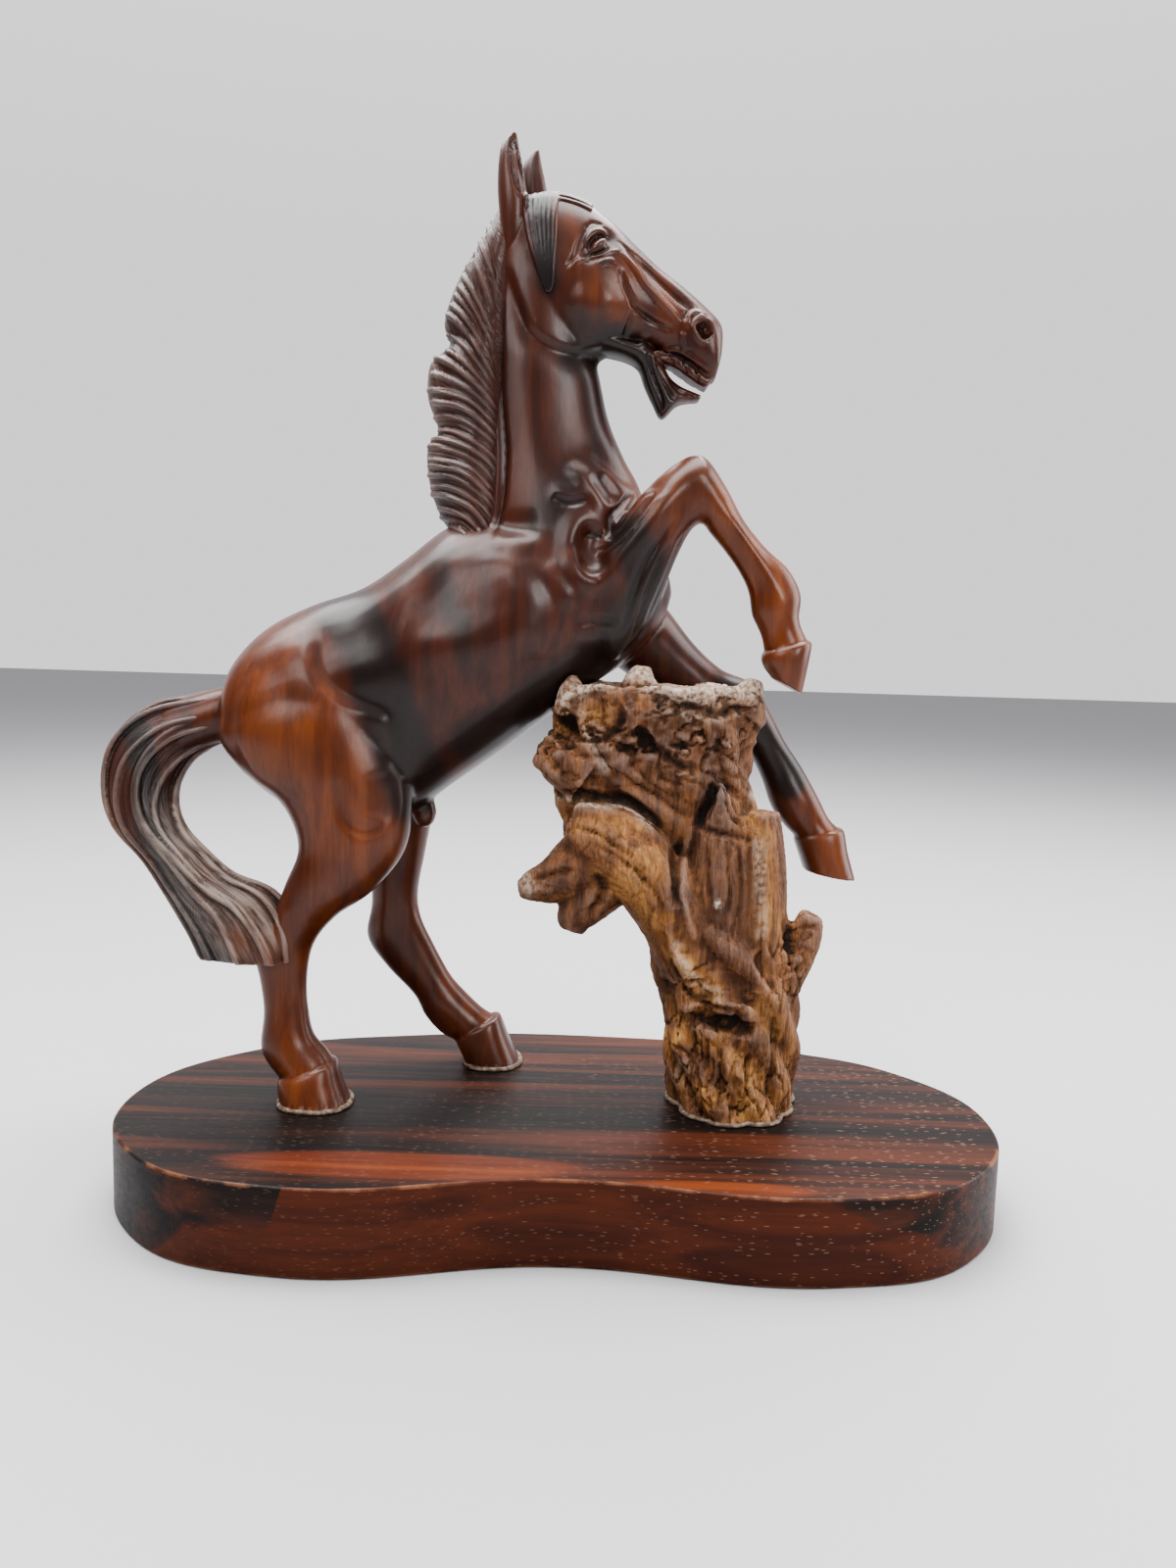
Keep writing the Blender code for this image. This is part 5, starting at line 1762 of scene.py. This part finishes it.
# %% The group for pores
PORE_CHANCE = 0.45
PORES, given, result, _ = new_tree(
    "ShaderNodeTree",
    "open pores",
    {"Place": ("Vector", None), "Stretch": ("Vector", (1400, 1400, 160)), "Share": ("Float", 0.2)},
    {"Pore": "Float"},
)
tree = PORES
scaled = stretched(tree, given["Place"], given["Stretch"])
cells = add(tree, "ShaderNodeTexVoronoi", {"Vector": scaled, "Scale": 1.0, "Randomness": 1.0}).outputs
near = calc(tree, "LESS_THAN", cells["Distance"], given["Share"])
chosen = add(tree, "ShaderNodeSeparateColor", {0: cells["Color"]}).outputs[0]
tree.links.new(times(tree, near, calc(tree, "GREATER_THAN", chosen, PORE_CHANCE)), result["Pore"])
print("pores:", len(tree.nodes), "nodes")

# %% The group for dust, wear and painted groove shade
# Near black: grooves are drawn towards it as painted shade, and the woods also darken fine grain and hair
# lines with it
SHADE_AND_GRAIN_BLACK = (0.004, 0.003, 0.003, 1)
GROOVE_SHADE_SHARE = 0.88
RUBBED_LIGHT = (0.25, 0.2, 0.18, 1)
DUST_WEAR_AND_SHADE, given, result, _ = new_tree(
    "ShaderNodeTree",
    "dust, wear and painted shade",
    {
        "Wood": ("Color", None),
        "Place": ("Vector", None),
        "Hollow": ("Float", 0.0),
        "Dust": ("Float", 0.0),
        "Dust Colour": ("Color", (0.3, 0.24, 0.2, 1)),
        "Depth": ("Float", 0.75),
        "Wear": ("Float", 0.2),
    },
    {"Colour": "Color", "Dull": "Float"},
)
tree = DUST_WEAR_AND_SHADE
# Grooves are darkened towards near black: painted shade, the deeper the darker
groove = times(tree, calc(tree, "MAXIMUM", given["Hollow"]), given["Depth"], clamp=True)
proud = calc(tree, "MAXIMUM", times(tree, given["Hollow"], -1.0))
ridge = times(tree, proud, given["Wear"], clamp=True)
speckle = spread(tree, noise(tree, given["Place"], 700.0, 4.0), 0.30, 0.60)
caught = spread(tree, given["Hollow"], -0.3, 0.45, 1.0, 0.1)
settled = times(tree, given["Dust"], caught, speckle, clamp=True)
colour = darkened(tree, groove, given["Wood"], GROOVE_SHADE_SHARE, SHADE_AND_GRAIN_BLACK)
colour = mix(tree, ridge, colour, mix(tree, 1.0, colour, RUBBED_LIGHT, "SCREEN"))
colour = mix(tree, settled, colour, given["Dust Colour"])
tree.links.new(colour, result["Colour"])
tree.links.new(plus(tree, times(tree, groove, 0.5), settled, clamp=True), result["Dull"])
print("dust, wear and painted shade:", len(tree.nodes), "nodes")

# %% Putting a material together
RELIEF = 0.0006


def use(tree, group, inputs):
    return add(tree, "ShaderNodeGroup", inputs, node_tree=group).outputs


def opened(material):
    """The material's tree, and the place of each point in its object's own space."""
    material.use_nodes = True
    tree = material.node_tree
    return tree, add(tree, "ShaderNodeTexCoord").outputs["Object"]


def finish(material, colour, roughness, height, bump, **constants):
    """Feeds the Principled shader and sets its plain values."""
    tree = material.node_tree
    shader = tree.nodes["Principled BSDF"]
    tree.links.new(colour, shader.inputs["Base Color"])
    tree.links.new(roughness, shader.inputs["Roughness"])
    raised = add(tree, "ShaderNodeBump", {"Height": height, "Strength": bump, "Distance": RELIEF})
    tree.links.new(raised.outputs[0], shader.inputs["Normal"])
    for key, value in constants.items():
        shader.inputs[key.replace("_", " ")].default_value = value
    print(material.name, "has", len(tree.nodes), "nodes")

# %% [markdown]
# ### Polished rosewood
#
# Fine upright streaks, warm patches and a dark heart, under a thin coat of polish. On the
# mane and tail the streaks follow the locks, because the finest hairs were scratched along
# them with a comb-like tool.

# %% Rosewood
ROSEWOOD = (0.036, 0.0088, 0.0046, 1), (0.064, 0.0155, 0.0070, 1)
WARM_ROSEWOOD = (0.118, 0.0270, 0.0066, 1), (0.178, 0.0460, 0.0100, 1)
HEARTWOOD = (0.010, 0.0065, 0.006, 1)
DARK_GRAIN = (0.004, 0.002, 0.002, 1)
tree, at = opened(HORSE_WOOD)
combed = value_of(tree, "combed")
streaks = use(tree, STREAKS, {"Place": at, "Stretch": (640, 640, 36), "Swirl": 0.5})
patches = noise(tree, at, 34.0, 4.0, Distortion=0.6)
strand = add(tree, "ShaderNodeAttribute", attribute_name="strand").outputs["Vector"]
hairs = spread(tree, noise(tree, stretched(tree, strand, (0.08, 1.5, 0.05)), 1.0, 3.0), 0.36, 0.62)
hairs = times(tree, hairs, combed)
wanted = {0: combed, 4: at, 5: stretched(tree, strand, (0.0002, 0.0015, 0.0002))}
worn_at = add(tree, "ShaderNodeMix", wanted, data_type="VECTOR").outputs[1]
warm = times(tree, value_of(tree, "warm"), spread(tree, patches, 0.3, 0.62, 0.45, 1.0), clamp=True)
edge = times(tree, calc(tree, "SUBTRACT", patches, 0.5), 1.1)
dark = spread(tree, plus(tree, value_of(tree, "dark"), edge), 0.18, 0.7)
wood = mix(tree, streaks["Broad"], *ROSEWOOD)
wood = mix(tree, warm, wood, mix(tree, streaks["Broad"], *WARM_ROSEWOOD))
wood = mix(tree, times(tree, dark, 0.9), wood, HEARTWOOD)
wood = darkened(tree, times(tree, streaks["Fine"], 0.4), wood, 0.5, DARK_GRAIN)
wood = darkened(tree, times(tree, hairs, 0.6), wood, 0.6, SHADE_AND_GRAIN_BLACK)
# The age group paints shade into the grooves, besides rubbed ridges and dust
aged_and_shaded = use(tree, DUST_WEAR_AND_SHADE, {
    "Wood": wood,
    "Place": worn_at,
    "Hollow": value_of(tree, "hollow"),
    "Dust": value_of(tree, "dust"),
    "Depth": 0.9,
    "Wear": plus(tree, times(tree, combed, 0.57), 0.08),
})
gloss = plus(tree, times(tree, streaks["Fine"], 0.05), 0.29, times(tree, aged_and_shaded["Dull"], 0.35))
ridges = plus(tree, times(tree, streaks["Fine"], -0.02), times(tree, hairs, -0.9))
polish = {"Coat_Weight": 0.08, "Coat_Roughness": 0.16, "Specular_IOR_Level": 0.36}
finish(HORSE_WOOD, aged_and_shaded["Colour"], gloss, ridges, 0.4, **polish)

# %% [markdown]
# ### Raw root wood
#
# The stump was never polished. Its fibres are brown, the broken layers show ochre, the holes
# and grooves are darkened towards black as painted shade, and pale dust lies on the rim and
# along every ledge. The stored values say where each colour and the painted shade lie, and
# noise only breaks up their borders. Noise alone would be quicker, but it would put the ochre
# anywhere.

# %% Root wood, raw and weathered
RAW_WOOD = (0.105, 0.039, 0.015, 1), (0.24, 0.099, 0.037, 1)
OCHRE_WOOD = (0.34, 0.135, 0.034, 1), (0.60, 0.31, 0.10, 1)
DARK_ROOT = (0.048, 0.018, 0.009, 1), (0.105, 0.042, 0.019, 1)
BROWN_GRAIN = (0.01, 0.006, 0.004, 1)
PALE_DUST = (0.62, 0.50, 0.40, 1)
tree, at = opened(ROOT_WOOD)
streaks = use(tree, STREAKS, {"Place": at, "Stretch": (520, 520, 60), "Swirl": 1.4})
patches = noise(tree, at, 60.0, 5.0, Distortion=1.0)
warm = times(tree, value_of(tree, "warm"), spread(tree, patches, 0.34, 0.58), clamp=True)
dark = times(tree, value_of(tree, "dark"), spread(tree, patches, 0.3, 0.6, 1.0, 0.5), clamp=True)
wood = mix(tree, streaks["Broad"], *RAW_WOOD)
wood = mix(tree, warm, wood, mix(tree, streaks["Broad"], *OCHRE_WOOD))
wood = mix(tree, dark, wood, mix(tree, streaks["Broad"], *DARK_ROOT))
wood = darkened(tree, times(tree, streaks["Fine"], 0.45), wood, 0.6, BROWN_GRAIN)
# The age group paints shade into the holes and grooves, besides rubbed ridges and pale dust
aged_and_shaded = use(tree, DUST_WEAR_AND_SHADE, {
    "Wood": wood,
    "Place": at,
    "Hollow": value_of(tree, "hollow"),
    "Dust": value_of(tree, "dust"),
    "Dust Colour": PALE_DUST,
    "Depth": 1.15,
    "Wear": 0.5,
})
gloss = plus(tree, times(tree, aged_and_shaded["Dull"], 0.25), 0.62)
height = plus(tree, times(tree, streaks["Fine"], -0.8), times(tree, patches, 0.8))
finish(ROOT_WOOD, aged_and_shaded["Colour"], gloss, height, 0.9, Specular_IOR_Level=0.3)

# %% [markdown]
# ### Striped ebony
#
# The plank is sawn along the grain, so dark stripes run from end to end, with two warm lenses
# near the front edge and pale pores that are thicker towards the right. Streaks stretched
# along x make the stripes. The lenses could be a painted mask, but two ellipses in the tree
# are shorter, and their edges break up with the streaks.

# %% Striped ebony, with its warm sapwood at the front
EBONY_STRIPES = (0.008, 0.0052, 0.0046, 1), (0.070, 0.019, 0.009, 1)
WARM_STRIPES = (0.085, 0.018, 0.007, 1), (0.15, 0.036, 0.011, 1)
SAPWOOD = (0.046, 0.0095, 0.0036, 1), (0.080, 0.0180, 0.0058, 1)
PALE_PORE = (0.20, 0.12, 0.08, 1)
WORN_EDGE = (0.20, 0.085, 0.04, 1)
LENSES = ((-0.040, -0.0475, 0.052, 0.0085), (0.042, -0.0555, 0.034, 0.0048))
tree, at = opened(EBONY)
x_y = add(tree, "ShaderNodeSeparateXYZ", {0: at}).outputs
streaks = use(tree, STREAKS, {"Place": at, "Stretch": (14, 330, 330), "Swirl": 0.9})
wide = use(tree, STREAKS, {"Place": at, "Stretch": (7, 130, 60), "Swirl": 1.6})
pores = use(tree, PORES, {"Place": at, "Stretch": (260, 1500, 1500), "Share": 0.22})["Pore"]
wander = noise(tree, at, 110.0, 5.0)
sap = plus(tree, value_of(tree, "sap"), times(tree, calc(tree, "SUBTRACT", wander, 0.5), 7.0))
sap = times(tree, spread(tree, sap, -0.6, 0.8), value_of(tree, "front"), clamp=True)
top = mix(tree, times(tree, wide["Broad"], streaks["Broad"]), *EBONY_STRIPES)
for middle_x, middle_y, half_x, half_y in LENSES:
    u = calc(tree, "DIVIDE", calc(tree, "SUBTRACT", x_y["X"], middle_x), half_x)
    v = calc(tree, "DIVIDE", calc(tree, "SUBTRACT", x_y["Y"], middle_y), half_y)
    away = plus(tree, times(tree, u, u), times(tree, v, v), times(tree, streaks["Broad"], 0.5))
    top = mix(tree, spread(tree, away, 1.35, 0.75), top, mix(tree, streaks["Broad"], *WARM_STRIPES))
wood = mix(tree, sap, top, mix(tree, streaks["Broad"], *SAPWOOD))
wood = darkened(tree, times(tree, streaks["Fine"], 0.4), wood, 0.6, SHADE_AND_GRAIN_BLACK)
specks = spread(tree, x_y["X"], -0.10, 0.12, 0.25, 0.8)
specks = times(tree, specks, spread(tree, x_y["Y"], 0.035, 0.055, 1.0, 0.3))
wood = mix(tree, times(tree, pores, specks), wood, PALE_PORE)
worn = times(tree, value_of(tree, "arris"), spread(tree, wander, 0.42, 0.62))
wood = mix(tree, times(tree, worn, 0.6), wood, WORN_EDGE)
gloss = plus(tree, times(tree, pores, 0.3), plus(tree, times(tree, streaks["Fine"], 0.08), 0.40))
finish(EBONY, wood, gloss, pores, -0.3, Specular_IOR_Level=0.18)

# %% [markdown]
# ### Glue and floor
#
# The dried glue is a matt crust, darker and lighter in patches, and the floor is one plain pale
# colour, so that nothing competes with the polish.

# %% Glue and floor
GLUE_COLOURS = (0.075, 0.045, 0.028, 1), (0.24, 0.175, 0.125, 1)
tree, at = opened(GLUE)
crust = noise(tree, at, 500.0, 3.0)
colour = mix(tree, spread(tree, crust, 0.4, 0.65), *GLUE_COLOURS)
finish(GLUE, colour, spread(tree, crust, 0.3, 0.7, 0.45, 0.8), crust, 0.5)

FLOOR_COLOUR, FLOOR_ROUGHNESS = (0.40, 0.40, 0.41, 1), 0.8
FLOOR = bpy.data.materials.new("pale_floor")
FLOOR.use_nodes = True
floor_shader = FLOOR.node_tree.nodes["Principled BSDF"].inputs
floor_shader["Base Color"].default_value = FLOOR_COLOUR
floor_shader["Roughness"].default_value = FLOOR_ROUGHNESS

# %% [markdown]
# ## Floor, light and camera
#
# Polished dark wood shows little but the reflection of what surrounds it, so it is lit like
# silverware: one large soft box above and behind draws the bright line along the back and
# neck, and two front lights open the shadows. The wood mirrors a pale wall at the back only,
# while the camera sees a pale wall on every side.

# %% The floor
FLOOR_HALF = 4.0
floor_mesh = bpy.data.meshes.new("floor")
sides = [(-1, -1), (1, -1), (1, 1), (-1, 1)]
corners = [(x * FLOOR_HALF, y * FLOOR_HALF, PLANK_LOW.z) for x, y in sides]
floor_mesh.from_pydata(corners, [], [(0, 1, 2, 3)])
floor_mesh.materials.append(FLOOR)
floor = linked("floor", floor_mesh)
floor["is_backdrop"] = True
print("the floor is", FLOOR_HALF * 2, "m wide")

# %% Lights and the pale room
def soft_light(name, at, towards, size, power):
    light = bpy.data.lights.new(name, "AREA")
    light.shape = "RECTANGLE"
    light.size, light.size_y = size
    light.energy = power
    obj = linked(name, light)
    obj.location = at
    obj.rotation_euler = (Vector(towards) - Vector(at)).to_track_quat("-Z", "Y").to_euler()


soft_light("soft box above", (-0.10, 0.14, 0.98), (0, 0, 0.15), (1.2, 1.0), 36)
soft_light("front fill at the left", (-0.60, -1.0, 0.90), (0, 0, 0.14), (0.7, 0.5), 6)
soft_light("front fill at the right", (0.60, -1.0, 0.60), (0, 0, 0.16), (0.4, 0.5), 6)
soft_light("pale wall at the right", (1.0, 0.1, 0.5), (0, 0, 0.15), (0.7, 1.0), 12)
ROOM_COLOUR, ROOM_SEEN = (0.96, 0.95, 0.98, 1), 0.95
world = bpy.data.worlds.new("pale room")
bpy.context.scene.world = world
world.use_nodes = True
tree = world.node_tree
looking = add(tree, "ShaderNodeTexCoord").outputs["Generated"]
direction = add(tree, "ShaderNodeSeparateXYZ", {0: looking}).outputs
above = spread(tree, direction["Z"], 0.1, 0.9, 0.0, 0.40)
behind = spread(tree, direction["Y"], -0.3, 0.8, 0.05, 0.9)
background = tree.nodes["Background"]
background.inputs["Color"].default_value = ROOM_COLOUR
seen = times(tree, add(tree, "ShaderNodeLightPath").outputs["Is Camera Ray"], ROOM_SEEN)
brightness = calc(tree, "MAXIMUM", plus(tree, above, behind), seen)
tree.links.new(brightness, background.inputs["Strength"])
bpy.context.scene.view_settings.look = "AgX - Medium High Contrast"
print("lights:", len(bpy.data.lights))

# %% The camera, where the photographer stood
PHOTO_FOCAL_PIXELS, PHOTO_HEIGHT_PIXELS = 1202, 1600
SENSOR = 36
CAMERA_AT = (0.0059, -0.351, 0.1677)
CAMERA_PITCH, CAMERA_ROLL = 83, 1.7
lens = bpy.data.cameras.new("camera")
lens.sensor_width = SENSOR
lens.lens = SENSOR * PHOTO_FOCAL_PIXELS / PHOTO_HEIGHT_PIXELS
camera = linked("camera", lens)
pitch = Matrix.Rotation(math.radians(CAMERA_PITCH), 4, "X")
roll = Matrix.Rotation(math.radians(CAMERA_ROLL), 4, "Z")
camera.matrix_world = Matrix.Translation(CAMERA_AT) @ pitch @ roll
bpy.context.scene.camera = camera
print("the camera stands", round(-CAMERA_AT[1] * MM_PER_M), "mm in front of the middle")

# %% [markdown]
# ## Has it grown?
#
# Carving in the computer can add wood as easily as it takes wood away. The box of the
# finished sculpture is compared with that of the construction model, and how far it has
# grown at each side is printed.

# %% Has it grown?
made_low, made_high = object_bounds()
for axis, low, high, start, end in zip("xyz", frame_low, frame_high, made_low, made_high):
    grown_low, grown_high = (low - start) * MM_PER_M, (end - high) * MM_PER_M
    print(axis, "grew by", round(grown_low, 2), "and", round(grown_high, 2), "mm")
